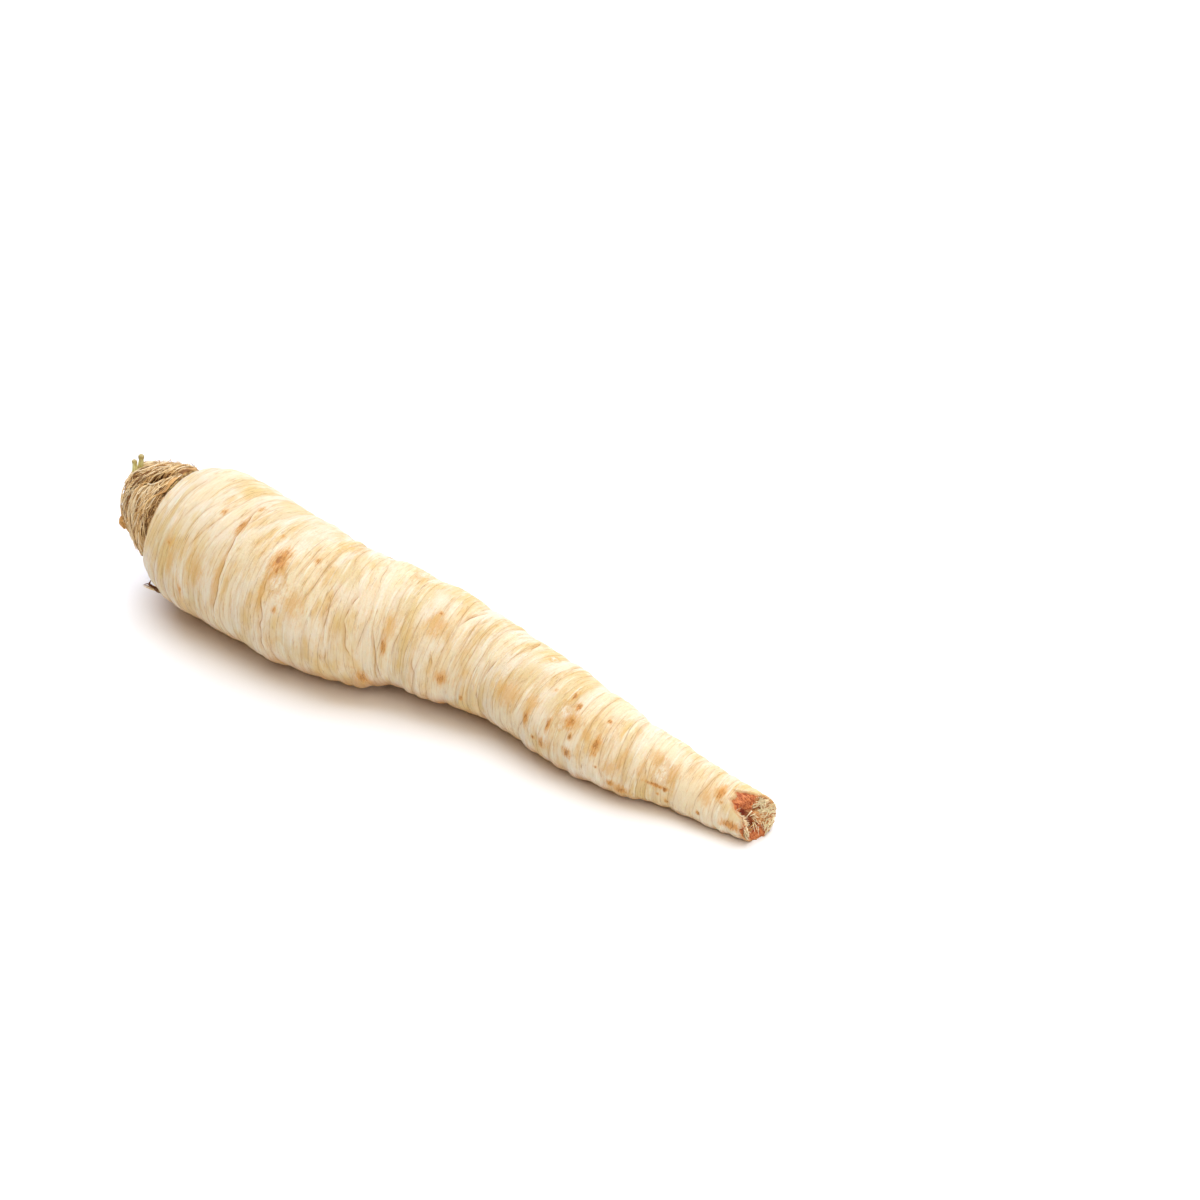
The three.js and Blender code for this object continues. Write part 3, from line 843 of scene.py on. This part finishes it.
def fleshy_root(material):
    """The crown stem, the skin and the break as one closed surface, with what its material reads."""
    angles = body_angles()
    share = np.linspace(0, 1, BODY_ROWS)[:, None]
    place = seam_place(angles) * (1 - share) + torn_reach(angles) * share
    angle = np.broadcast_to(angles, place.shape)
    radius = main_radius(place, angle)
    facts = skin_facts(place, angle, radius)
    points = section_point(place, radius + skin_relief(facts, angle), angle)
    stem, stem_straight = crown_stem(angles)
    broken, sunk, warm = torn_flesh(points[-1])
    grid = np.concatenate([stem, points, broken])
    surface = with_ends(grid)
    faces = capped_faces(len(grid), len(angles))
    piece = make_piece("root_body", surface, faces, material, "taproot")
    straight = [stem_straight, facts.pop("straight"), broken, surface[-2:]]
    give(piece, "straight", straight, "FLOAT_VECTOR")
    beyond_skin = {"crown": (3.0, -SKIN_LENGTH), "torn": (-SKIN_LENGTH, 3.0)}
    for name, values in facts.items():
        on_stem, on_break = beyond_skin.get(name, (FAR_FROM_MARK, FAR_FROM_MARK))
        stem_values, break_values = np.full(stem.shape[:2], on_stem), np.full(broken.shape[:2], on_break)
        give(piece, name, [stem_values, values, break_values, on_stem, on_break])
    # how deep the break is sunk also darkens its colour as painted shade
    for name, values in (("sunk", sunk), ("warm", warm)):
        give(piece, name, [np.zeros(stem.shape[:2]), np.zeros(place.shape), values, 0.0, values[-1].mean()])


def frayed_strand(pile, place, start, heading, bend, length, thick, lift, shade):
    """A fibre of torn flesh lying across the break, from a place on it and in a heading seen from behind."""
    share = np.linspace(0, 1, 9)
    turned = heading + bend * share
    sideways = start[0] + np.cumsum(cosine(turned)) * length / len(share)
    up = start[1] + np.cumsum(sine(turned)) * length / len(share)
    inside = (1 + (np.hypot(sideways, up) / STRANDS_RADIUS) ** 8) ** -0.125
    middle = body_centre(SKIN_LENGTH - 4)
    along = np.minimum(place + lift * share, STRANDS_END)
    path = np.stack([along, middle[1] + sideways * inside, middle[2] + up * inside], -1)
    outward = np.broadcast_to([1.0, 0.0, 0.0], path.shape)
    points, faces = tube(path, thick * (1.15 - share), outward, sides=4)
    pile.add(points, faces, shade=shade)


def frayed_tuft(pile, source):
    """Strands that stand together on the pale side of the break, but not where it is sunk or orange."""
    away, around = TAIL_RADIUS * math.sqrt(source.uniform(0.02, 0.98)), source.uniform(-180, 180)
    sideways, up = away * cosine(around), away * sine(around)
    flesh, sunk, warm = break_surface(sideways, up)
    if warm > 0.5 or sunk > 0.9:
        return
    outward = math.degrees(math.atan2(up + 0.7, sideways + 0.8))
    heading = source.choice([source.normal(165, 40), outward + source.normal(0, 25)], p=[0.35, 0.65])
    rise, light = source.uniform(0.3, 2.2), source.choice([1.0, 0.8, 0.3], p=[0.68, 0.24, 0.08])
    for _ in range(TUFT_STRANDS):
        start = (sideways + source.normal(0, 0.35), up + source.normal(0, 0.35))
        length, thick = source.uniform(1.2, 3.2), source.uniform(0.08, 0.18)
        bend, lift = source.normal(0, 30), rise + source.uniform(-0.2, 0.3)
        shade = np.clip(light + source.normal(0, 0.12), 0, 1)
        turned = heading + source.normal(0, 12)
        frayed_strand(pile, flesh - 0.1, start, turned, bend, length, thick, lift, shade)


def lip_strand(pile, source):
    """A short strand that leans in from the skin's torn edge."""
    around = source.uniform(*LIP_ANGLES)
    start = (LIP_RADIUS * cosine(around), LIP_RADIUS * sine(around))
    place = torn_reach(around) + source.uniform(-0.7, 0.1)
    heading = around + 180 + source.normal(0, 24)
    bend, length = source.normal(0, 30), source.uniform(0.8, 2.2)
    frayed_strand(pile, place, start, heading, bend, length, thick=0.09, lift=0.9, shade=0.6)


def torn_fibres(material):
    """Strands that stand frayed on the pale side of the break, on its lip and across its hollow."""
    source = np.random.default_rng(TORN_SEED)
    pile = Pile()
    for _ in range(FRAYED_TUFTS):
        frayed_tuft(pile, source)
    for _ in range(LIP_STRANDS):
        lip_strand(pile, source)
    for start, end in HANGING_STRANDS:
        across, rise = end[0] - start[0], end[1] - start[1]
        heading, length = math.degrees(math.atan2(rise, across)), math.hypot(across, rise)
        place = SKIN_LENGTH - HANGING_DEPTH
        frayed_strand(pile, place, start, heading, 12, length, thick=0.2, lift=-0.6, shade=1.0)
    pile.piece("torn_flesh_fibres", material, "skin", "taproot")


def skin_material():
    n = Nodes("root_skin")
    straight = n.attribute("straight", "Vector")
    grain = n.noise(straight, (1.6, 1.6, 1.6), 4.0, 0.6)
    fine = n.noise(straight, (2.6, 0.3, 0.3), 4.0, 0.6)
    rough_edge = n.swing(grain, 1.2)
    crown = n.attribute("crown")
    edge = n.plus(crown, n.times(rough_edge, 2.2))
    torn = n.plus(n.attribute("torn"), n.times(rough_edge, 0.5))
    colour = skin_marks(n, straight, skin_pattern(n, straight, fine))
    # the skin darkens to brown towards its ragged edge at the collar: partly its own brown edge, partly
    # painted shade of the crevice there
    colour = n.mix(n.between(edge, -1.5, -0.2), colour, rgb(196, 150, 92))
    colour = n.mix(n.between(edge, -0.4, 0.7), colour, rgb(168, 118, 68))
    colour = n.mix(n.between(crown, 1.5, 2.5), colour, leaf_base_colour(n, straight))
    colour = n.paint(colour, (n.between(torn, -1.1, -0.3), 0.55, rgb(204, 150, 84)))
    colour = n.mix(n.between(torn, -0.25, 0.1), colour, flesh_colour(n, straight, rough_edge))
    height = n.plus(n.times(fine, 0.7), n.times(grain, 0.3))
    settings = {
        "Base Color": colour,
        "Roughness": 0.5,
        "Diffuse Roughness": 1.0,
        "Specular IOR Level": 0.35,
        "Subsurface Weight": 0.2,
        "Subsurface Radius": (1.0, 0.6, 0.3),
        "Subsurface Scale": 0.002,
        "Normal": n.bump(height, 0.0007),
    }
    return n.surface(settings)


def skin_pattern(n, straight, fine):
    """The cream skin with its pale and tan streaks round the root and its thin lines, with painted shade on
    its underside and in the creases of its folds.
    """
    tints = n.noise(straight, (0.10, 0.055, 0.055))
    blotches = n.noise(straight, (0.2, 0.075, 0.075), 4.0, 0.6)
    streaks = n.noise(straight, (0.75, 0.08, 0.08), 4.0, 0.6)
    dashes = n.times(n.between(fine, 0.58, 0.7), n.between(blotches, 0.4, 0.6))
    folded = n.attribute("folded")
    uneven = n.swing(fine, 0.25)
    off_fine = n.plus(n.math("ABSOLUTE", n.attribute("fine_folds")), uneven)
    off_fold = n.plus(n.math("ABSOLUTE", n.attribute("folds")), uneven)
    fine_line = n.times(n.between(off_fine, 0.24, 0.0), n.between(blotches, 0.38, 0.6))
    return n.paint(
        n.mix(n.between(tints, 0.35, 0.65), rgb(246, 233, 200), rgb(244, 236, 220)),
        (n.between(blotches, 0.45, 0.66), 0.75, rgb(234, 202, 130)),
        (n.between(tints, 0.48, 0.66), 0.65, rgb(232, 208, 138)),
        (n.between(streaks, 0.47, 0.3), 0.75, rgb(249, 245, 226)),
        (n.between(streaks, 0.53, 0.72), 0.55, rgb(224, 188, 120)),
        # painted shade: warm brown on the underside
        (n.attribute("painted_underside_shade"), n.plus(streaks, 0.2), rgb(206, 148, 84)),
        (dashes, 0.7, rgb(190, 148, 94)),
        (fine_line, 0.6, rgb(192, 154, 106)),
        # painted shade: a tan band darkens the creases of the larger folds
        (n.times(n.between(off_fold, 0.5, 0.05), folded), 0.35, rgb(222, 184, 120)),
        (n.times(n.between(off_fold, 0.08, 0.0), folded), 0.6, rgb(180, 134, 80)),
    )


def skin_marks(n, straight, colour):
    """Stains, peeled spots, scars and cracks, with a painted highlight and painted shade beside each crack,
    over the skin's own colour.
    """
    flecks = n.noise(straight, (1.7, 0.5, 0.5), 5.0, 0.7)
    streaky = n.noise(straight, (2.6, 0.4, 0.4), 4.0, 0.7)
    torn_edge = n.swing(flecks, 2.6)
    stains = n.plus(n.attribute("stains"), torn_edge)
    peels = n.plus(n.attribute("peels"), torn_edge)
    scars = n.plus(n.attribute("scars"), n.swing(streaky, 3.6))
    flakes = n.mix(n.between(flecks, 0.4, 0.62), rgb(250, 246, 230), rgb(236, 208, 158))
    scabs = n.mix(n.between(flecks, 0.42, 0.62), rgb(228, 170, 92), rgb(184, 120, 58))
    depth = n.attribute("crack_depth")
    across = n.plus(n.attribute("cracks"), n.times(torn_edge, 0.07))
    # painted highlight: a pale band on the raised side of each crack
    pale = n.times(n.between(across, 0.1, 0.4), n.between(across, 1.3, 0.5))
    # painted shade: a tan band on the other side of each crack
    tan = n.times(n.between(across, -1.3, -0.2), n.between(across, 0.3, 0.0))
    beyond = n.math("SUBTRACT", n.math("ABSOLUTE", across), n.times(depth, 0.18))
    line = n.times(n.between(beyond, 0.08, -0.1), n.between(depth, 0.05, 0.6))
    return n.paint(
        colour,
        (n.between(stains, -0.5, 0.7), 0.65, rgb(232, 188, 112)),
        (n.between(peels, -0.5, 0.1), 0.5, rgb(222, 180, 112)),
        (n.between(peels, 0.0, 0.4), 0.85, flakes),
        (n.between(scars, -0.9, 0.1), 0.7, rgb(230, 182, 108)),
        (n.between(scars, 0.0, 0.35), 0.85, scabs),
        # painted highlight and painted shade on the two sides of each crack
        (pale, n.times(depth, 0.6), rgb(253, 244, 220)),
        (tan, n.times(depth, 0.65), rgb(216, 172, 104)),
        (line, 0.75, rgb(182, 132, 74)),
    )


def leaf_base_colour(n, straight):
    """The cut leaf bases inside the collar: dry brown with pale and green remains."""
    cuts = n.noise(straight, (0.6, 0.5, 0.5), 4.0, 0.65)
    green = n.noise(straight, (0.3, 0.28, 0.28), 2.0)
    colour = n.mix(n.between(cuts, 0.36, 0.62), rgb(132, 92, 52), rgb(216, 180, 122))
    return n.paint(colour, (n.between(green, 0.52, 0.66), 0.7, rgb(188, 184, 112)))


def flesh_colour(n, straight, rough_edge):
    """The torn flesh: pale where it stands out, speckled orange on the near side, and darkened to red-brown
    in the hollows as painted shade.
    """
    threads = n.noise(straight, (1.0, 2.4, 1.0), 4.0, 0.7)
    warm = n.between(n.plus(n.attribute("warm"), n.times(rough_edge, 1.5)), 0.1, 0.7)
    sunk = n.plus(n.attribute("sunk"), rough_edge)
    orange = n.mix(n.between(threads, 0.38, 0.6), rgb(178, 84, 44), rgb(232, 152, 92))
    # painted shade: both the orange and the pale flesh darken the deeper the break is sunk
    orange = n.mix(n.between(sunk, 0.4, 1.5), orange, rgb(142, 46, 26))
    pale = n.mix(n.between(threads, 0.4, 0.6), rgb(196, 128, 72), rgb(240, 202, 148))
    pale = n.mix(n.between(sunk, 0.3, 1.2), pale, rgb(166, 92, 50))
    return n.mix(warm, pale, orange)


# ---- The dry collar ----

WALL_COLUMNS = 320
WALL_ROWS = 44
FIBRE_STEPS = 24
FIBRE_SIDES = 4
SLANT_ANGLE = 145
WEAVE = Noise(21)
THREADS = Noise(22)
FRAY = Noise(23)


def slant(angle):
    """How far the fibres have risen where they pass an angle: most on the near side, least on the far one."""
    return 1.4 * cosine(2 * (angle - SLANT_ANGLE)) + 0.9 * cosine(angle - SLANT_ANGLE)


def hollow_share(height, angle):
    at, towards, rise, half_height, half_width, _ = HOLLOW
    turned = turn_between(angle, towards)
    return bell(height - at - rise * turned, half_height) * bell(turned, half_width)


def crevice_share(angle):
    (opening, open_from), (open_to, closing) = CREVICE
    angle = np.mod(angle, 360)
    return ramp(angle, opening, open_from) * (1 - ramp(angle, open_to, closing))


def fibrous(height, angle, radius):
    """Ridges and gaps of the fibres that run round the collar, from -1 to 1."""
    straight = straightened(height - slant(angle), angle, radius)
    coarse = 1 - 3 * np.abs(WEAVE.at(straight, (1.3, 11, 11)))
    thin = 1 - 3 * np.abs(THREADS.at(straight, (0.5, 6, 6)))
    return np.clip(0.65 * coarse + 0.35 * thin, -1, 1)


def sheath_wall(outline):
    """A sheath's wall carried round the crown: its points and how light each one is, darker as painted shade
    in its low gaps, in the hollow and near the crevice.
    """
    curve = closed_curve(outline, WALL_ROWS)
    tangent = np.roll(curve, -1, axis=0) - np.roll(curve, 1, axis=0)
    normal = np.stack([tangent[:, 1], -tangent[:, 0]], -1)
    normal /= np.linalg.norm(normal, axis=1, keepdims=True)
    height, angle = round_grid(curve[:, 0], WALL_COLUMNS)
    radius = curve[:, 1:] + 0 * angle
    weave = fibrous(height, angle, radius)
    frayed = FRAY.at(straightened(height, angle, radius), (4, 3.2, 3.2))
    hollow = hollow_share(height, angle)
    share = (height - curve[:, 0].min()) / np.ptp(curve[:, 0])
    push = 0.3 * weave + 0.15 * frayed
    foot = ramp(2.0 - height, 0.0, 1.1) * (1 - crevice_share(angle))
    height_out = height - foot + normal[:, :1] * push - 0.45 * share**2 * (0.5 + 0.8 * frayed)
    radius_out = radius + 0.7 * foot + normal[:, 1:] * push - HOLLOW[-1] * hollow
    # painted shade: the wall is darker in its low gaps, in the hollow and near the crevice
    shade = 0.22 + 0.36 * weave + 0.12 * frayed - 0.8 * hollow
    shade -= 0.5 * (1 - ramp(height, *CREVICE_SHADE)) * crevice_share(angle)
    return collar_point(height_out, radius_out, angle), np.clip(shade, -1, 1)


def collar_strand(height, radius, angle, thick, sides, flat=1.0):
    """A strand that lies at heights, radii and angles of the collar."""
    path = collar_point(height, radius, angle)
    outward = collar_point(height, radius + 1, angle) - path
    return tube(path, thick, outward, sides, flat)


def fibre(source, low, high):
    """One fibre or narrow strip lying on the collar, which runs part of the way round it."""
    start = source.uniform(0, 360)
    share = np.linspace(0, 1, FIBRE_STEPS)
    angle = start + source.uniform(12, 85) * share
    slope = source.normal(0, source.choice([0.6, 2.4], p=[0.5, 0.5]))
    wave = source.uniform(0.05, 0.35)
    turns = share * source.uniform(0.5, 1.8) + source.uniform()
    height = source.uniform(low, high) + slant(angle) - slant(angle[FIBRE_STEPS // 2])
    height = height + slope * (share - 0.5) + wave * np.sin(2 * math.pi * turns)
    over = source.uniform(-0.4, 1.0)
    height = np.clip(height, 0.35 + 0.5 * over * crevice_share(angle), HIGHEST_FIBRE)
    frays = source.uniform() < 0.35
    lift = source.uniform(-0.08, 0.24) + frays * source.uniform(0.2, 0.9) * ramp(share, 0.8, 1.0)
    hollow = hollow_share(height, angle)
    radius = read(COLLAR_OUTSIDE, height) + lift - (HOLLOW[-1] + 0.4) * hollow
    flat = source.choice([1.0, 1.6, 2.6], p=[0.7, 0.2, 0.1])
    thick = source.uniform(0.05, 0.13) * np.sqrt(np.clip(1.04 - (2 * share - 1) ** 4, 0, 1))
    points, faces = collar_strand(height, radius, angle, thick, FIBRE_SIDES, flat)
    light = source.choice([0.85, 0.45, 0.05], p=[0.55, 0.27, 0.18])
    # painted shade: fibres are darker in the hollow and, by a random amount, near the crevice
    shade = np.clip(source.normal(light, 0.1), 0.0, 1.0) - 1.2 * hollow
    shade = shade - source.uniform(0, 0.7) * (1 - ramp(height, *CREVICE_SHADE)) * crevice_share(angle)
    return points, faces, np.concatenate([np.repeat(shade, FIBRE_SIDES), shade[:1], shade[-1:]])


def crossing_fibre(source):
    """A short broken fibre that crosses the crevice from the collar to the skin."""
    share = np.linspace(0, 1, 10)
    angle = source.uniform(*CROSSED) + source.uniform(-9, 9) * share
    height = source.uniform(0.9, 2.2) - source.uniform(0.8, 2.4) * share
    radius = read(SEAM_OUTSIDE, height) + source.uniform(-0.5, 0.15) - 0.25 * share
    thick = source.uniform(0.05, 0.12) * (1.15 - share)
    points, faces = collar_strand(height, radius, angle, thick, FIBRE_SIDES, flat=1.4)
    return points, faces, source.uniform(-0.2, 0.9)


def stray_hair(source, low, high):
    """A thin hair that stands off the collar."""
    height = source.uniform(low, high)
    angle = source.choice([source.uniform(0, 360), source.normal(62, 18)])
    share = np.linspace(0, 1, 12)
    length, rise = source.uniform(-20, 20), source.uniform(0.4, 1.7)
    height = np.clip(height + source.uniform(-1.2, 1.2) * share, 0.8, HIGHEST_FIBRE)
    radius = read(COLLAR_OUTSIDE, height) + rise * share**1.5
    points, faces = collar_strand(height, radius, angle + length * share, 0.085 * (1.1 - share), sides=3)
    return points, faces, source.uniform(0.5, 1.0)


def loose_fibre(thick, given):
    """A light fibre through a few points given as (height, angle, how far it stands off the collar)."""
    (height, angle, off), share = smooth_path(given, 24)
    radius = read(COLLAR_OUTSIDE, height) + off
    points, faces = collar_strand(height, radius, angle, thick * (1.1 - share**2), sides=5)
    return points, faces, 1.0


def leaf_sheath(name, outline, low, high, fibres, hairs, seed, material):
    """A sheath's wall with the fibres and hairs that lie on it, as one piece."""
    source = np.random.default_rng(seed)
    wall, shade = sheath_wall(outline)
    faces = grid_faces(WALL_ROWS + 1, WALL_COLUMNS) % (WALL_ROWS * WALL_COLUMNS)
    shapes = [(wall, faces.tolist(), shade)]
    shapes += [fibre(source, low, high) for _ in range(fibres)]
    shapes += [stray_hair(source, low, high) for _ in range(hairs)]
    if name == "lower_leaf_sheath":
        shapes += [crossing_fibre(source) for _ in range(CROSSING_FIBRES)]
    shapes += [loose_fibre(thick, given) for sheath, thick, given in LOOSE_FIBRES if sheath == name]
    pile = Pile()
    for points, faces, shades in shapes:
        pile.add(points, faces, shade=shades)
    pile.piece(f"{name}_fibres", material, "dry_sheath", name)


def sheath_material():
    n = Nodes("dry_fibres")
    streak = n.noise(n.position(), (900, 260, 260), 4.0, 0.6)
    blotch = n.noise(n.position(), (150, 150, 150))
    varied = n.plus(n.plus(n.attribute("shade"), n.swing(streak, 0.7)), n.swing(blotch, 0.5))
    # the darkest brown is reached mainly where the value is lowered as painted shade: in the hollow, near the
    # crevice and in the wall's low gaps
    colour = n.mix(n.between(varied, -0.7, 0.0), rgb(70, 48, 30), rgb(132, 90, 50))
    colour = n.mix(n.between(varied, -0.05, 0.3), colour, rgb(214, 168, 106))
    colour = n.mix(n.between(varied, 0.25, 0.6), colour, rgb(236, 204, 146))
    colour = n.mix(n.between(varied, 0.6, 1.05), colour, rgb(252, 236, 200))
    settings = {
        "Base Color": colour,
        "Roughness": 0.75,
        "Specular IOR Level": 0.25,
        "Normal": n.bump(streak, 0.0002),
    }
    return n.surface(settings)


# ---- What stands on the collar, and the rootlet ----


def leaf_stalk(name, towards, height, length, radius, knob, lean, seed, material):
    """A cut stalk with ribs and a thicker, rough end."""
    foot = collar_point(height, read(UPPER_OUTSIDE, height) + FOOT_GAP, towards)
    thicker = knob / radius
    outline = [(0, 1.3), (0.2, 1.15), (0.5, 1.0), (0.68, 0.95), (0.8, thicker), (0.92, thicker), (1, 0.7)]
    share, angle = round_grid(np.linspace(0, 1, 44), 36)
    width, up = radius * read(outline, share), length * share
    ribs = 0.05 * cosine(7 * angle) * ramp(1 - share, 0.2, 0.5)
    dents = Noise(seed).at(straightened(up, angle, width), (0.9, 0.35, 0.35))
    width = width * (1 + ribs + 0.12 * dents * ramp(share, 0.3, 0.9))
    bend = 0.16 * np.sin(share * 2.6) * (1 - share)
    x, y = width * cosine(angle) + bend, width * sine(angle)
    rows = np.stack([x * cosine(lean) + up * sine(lean), y, up * cosine(lean) - x * sine(lean)], -1) + foot
    dish = rows[-1].mean(0) - np.array([sine(lean), 0, cosine(lean)]) * 0.12 * length
    points = np.concatenate([rows.reshape(-1, 3), [rows[0].mean(0), dish]])
    pile = Pile()
    pile.add(points, capped_faces(*share.shape), share=np.append(share, (0.0, 1.0)))
    pile.piece(f"{name}_cut", material, "green_stalk", name)


def stalk_material():
    n = Nodes("green_stalk")
    streak = n.noise(n.position(), (2600, 2600, 260))
    spots = n.noise(n.position(), (1200, 1200, 1200))
    colour = n.mix(n.between(streak, 0.35, 0.65), rgb(206, 200, 112), rgb(232, 228, 168))
    browned = n.between(n.plus(n.attribute("share"), n.swing(spots, 0.7)), 0.62, 0.95)
    settings = {
        "Base Color": n.paint(colour, (browned, 0.75, rgb(158, 130, 72))),
        "Roughness": 0.55,
        "Subsurface Weight": 0.2,
        "Subsurface Radius": (0.8, 0.9, 0.3),
        "Subsurface Scale": 0.001,
        "Normal": n.bump(streak, 0.0001),
    }
    return n.surface(settings)


def leaf_scrap(material):
    """A crumpled scrap of dry leaf base: a lump with deep folds and ragged edges."""
    foot_radius = read(UPPER_OUTSIDE, SCRAP_HEIGHT) + FOOT_GAP
    rough = Noise(SCRAP_SEED)
    rise, around = round_grid(np.linspace(-88, 88, 30), 44)
    ball = np.stack([cosine(rise) * cosine(around), cosine(rise) * sine(around), sine(rise)], -1)
    folds = rough.at(ball, (0.9, 0.35, 0.6))
    size = 1 + 0.28 * rough.at(ball, (0.7, 0.7, 0.7)) - 0.22 * np.abs(folds)
    across, along, off = (np.clip(ball[..., axis] * size, -1, 1) for axis in range(3))
    height = SCRAP_HEIGHT - 0.1 + SCRAP_HALF_LENGTH * along * (1 - 0.25 * across)
    angle = SCRAP_ANGLE - np.degrees(SCRAP_HALF_WIDTH * across / foot_radius)
    reach = foot_radius + SCRAP_THICKNESS * (0.5 + 0.5 * off) + 0.25 * across
    points = with_ends(collar_point(height, reach, angle))
    shade = np.clip(0.35 + 1.6 * np.abs(folds) + 0.2 * off, 0, 1)
    pile = Pile()
    pile.add(points, capped_faces(*shade.shape), shade=np.append(shade, (0.5, 0.5)))
    pile.piece("dry_scrap_lump", material, "brown_scrap", "dry_leaf_scrap")


def side_rootlet(material):
    """The dried rootlet low on the shoulder: its knot, a forked twig and two thin broken strands."""
    start = section_point(ROOTLET_PLACE, main_radius(ROOTLET_PLACE, ROOTLET_ANGLE), ROOTLET_ANGLE)
    pile = Pile()
    for thick, shade, given in ROOTLET_STRANDS:
        bends, share = smooth_path(given, 8 * len(given))
        path = start + np.stack(bends, -1)
        knots = 1 + 0.25 * FRAY.at(path, (0.5, 0.5, 0.5))
        points, faces = tube(path, thick * knots * (1.02 - share**2), path - ROOTLET_BEHIND, sides=8)
        pile.add(points, faces, shade=shade)
    pile.piece("side_rootlet", material, "skin", "taproot")


def brown_material(name, dark, light):
    n = Nodes(name)
    grain = n.noise(n.position(), (1500, 1500, 1500), 4.0, 0.65)
    varied = n.plus(n.attribute("shade"), n.swing(grain, 1.0))
    settings = {
        "Base Color": n.mix(n.between(varied, 0.1, 0.9), dark, light),
        "Roughness": 0.8,
        "Specular IOR Level": 0.2,
        "Normal": n.bump(grain, 0.0002),
    }
    return n.surface(settings)


# ---- Camera, light and floor ----

CAMERA_AZIMUTH = 34.7
CAMERA_ELEVATION = 36
CAMERA_DISTANCE = 747
CAMERA_LENS = 85
CAMERA_TARGET = (109.5, 41.5, 14.6)  # in the root's own millimetres
# Square lights: name, place, what it faces and width in metres, power in watts, colour.
LIGHTS = [
    ("overhead", (-0.27, 0.45, 1.1), (0, 0, 0), 1.7, 27.9, (0.79, 0.86, 1.0)),
    ("right", (0.45, -0.08, 0.2), (0.1, 0, 0.006), 0.3, 0.6, (1.0, 0.96, 0.9)),
    ("front", (0.2, -0.35, 1.1), (0, 0, 0), 1.0, 6.2, (1.0, 0.94, 0.8)),
]
WARM_SURROUNDINGS = (1.0, 0.6, 0.35, 1.0)
SURROUNDINGS_STRENGTH = 0.16
FLOOR_REACH = 4.0  # metres


def stand(name, data, place, facing):
    """Puts a camera or a light at a place in the scene, turned to face another one."""
    thing = add_object(name, data)
    thing.location = place
    thing.rotation_euler = (Vector(facing) - Vector(place)).to_track_quat("-Z", "Y").to_euler()
    return thing


def make_camera():
    level = cosine(CAMERA_ELEVATION)
    back = (sine(CAMERA_AZIMUTH) * level, -cosine(CAMERA_AZIMUTH) * level, sine(CAMERA_ELEVATION))
    target = (np.array(CAMERA_TARGET) + OFFSET) * MM
    lens = bpy.data.cameras.new("camera")
    lens.lens = CAMERA_LENS
    camera = stand("camera", lens, target + np.array(back) * CAMERA_DISTANCE * MM, target)
    bpy.context.scene.camera = camera


def make_studio():
    """The lights, the warm surroundings and the way colours are shown."""
    for name, place, facing, width, power, colour in LIGHTS:
        light = bpy.data.lights.new(name, "AREA")
        light.size = width
        light.energy = power
        light.color = colour
        stand(name, light, place, facing)
    world = bpy.data.worlds.new("studio")
    world.use_nodes = True
    background = world.node_tree.nodes["Background"]
    background.inputs["Color"].default_value = WARM_SURROUNDINGS
    background.inputs["Strength"].default_value = SURROUNDINGS_STRENGTH
    bpy.context.scene.world = world
    bpy.context.scene.view_settings.view_transform = "Standard"


def make_floor():
    settings = {"Base Color": (0.96, 0.98, 1.0, 1.0), "Roughness": 0.9, "Specular IOR Level": 0.1}
    sides = ((-1, -1), (1, -1), (1, 1), (-1, 1))
    mesh = bpy.data.meshes.new("floor")
    mesh.from_pydata([(x * FLOOR_REACH, y * FLOOR_REACH, 0) for x, y in sides], [], [(0, 1, 2, 3)])
    mesh.materials.append(Nodes("pale_floor").surface(settings))
    add_object("floor", mesh)


make_camera()
make_studio()
make_floor()
fleshy_root(skin_material())
dry_fibres = sheath_material()
for sheath in SHEATHS:
    leaf_sheath(*sheath, dry_fibres)
green_stalk = stalk_material()
for stalk in STALKS:
    leaf_stalk(*stalk, green_stalk)
leaf_scrap(brown_material("brown_scrap", rgb(142, 92, 48), rgb(226, 178, 112)))
torn_fibres(brown_material("torn_fibres", rgb(222, 160, 92), rgb(255, 245, 208)))
side_rootlet(brown_material("dry_rootlet", rgb(98, 58, 28), rgb(232, 208, 156)))
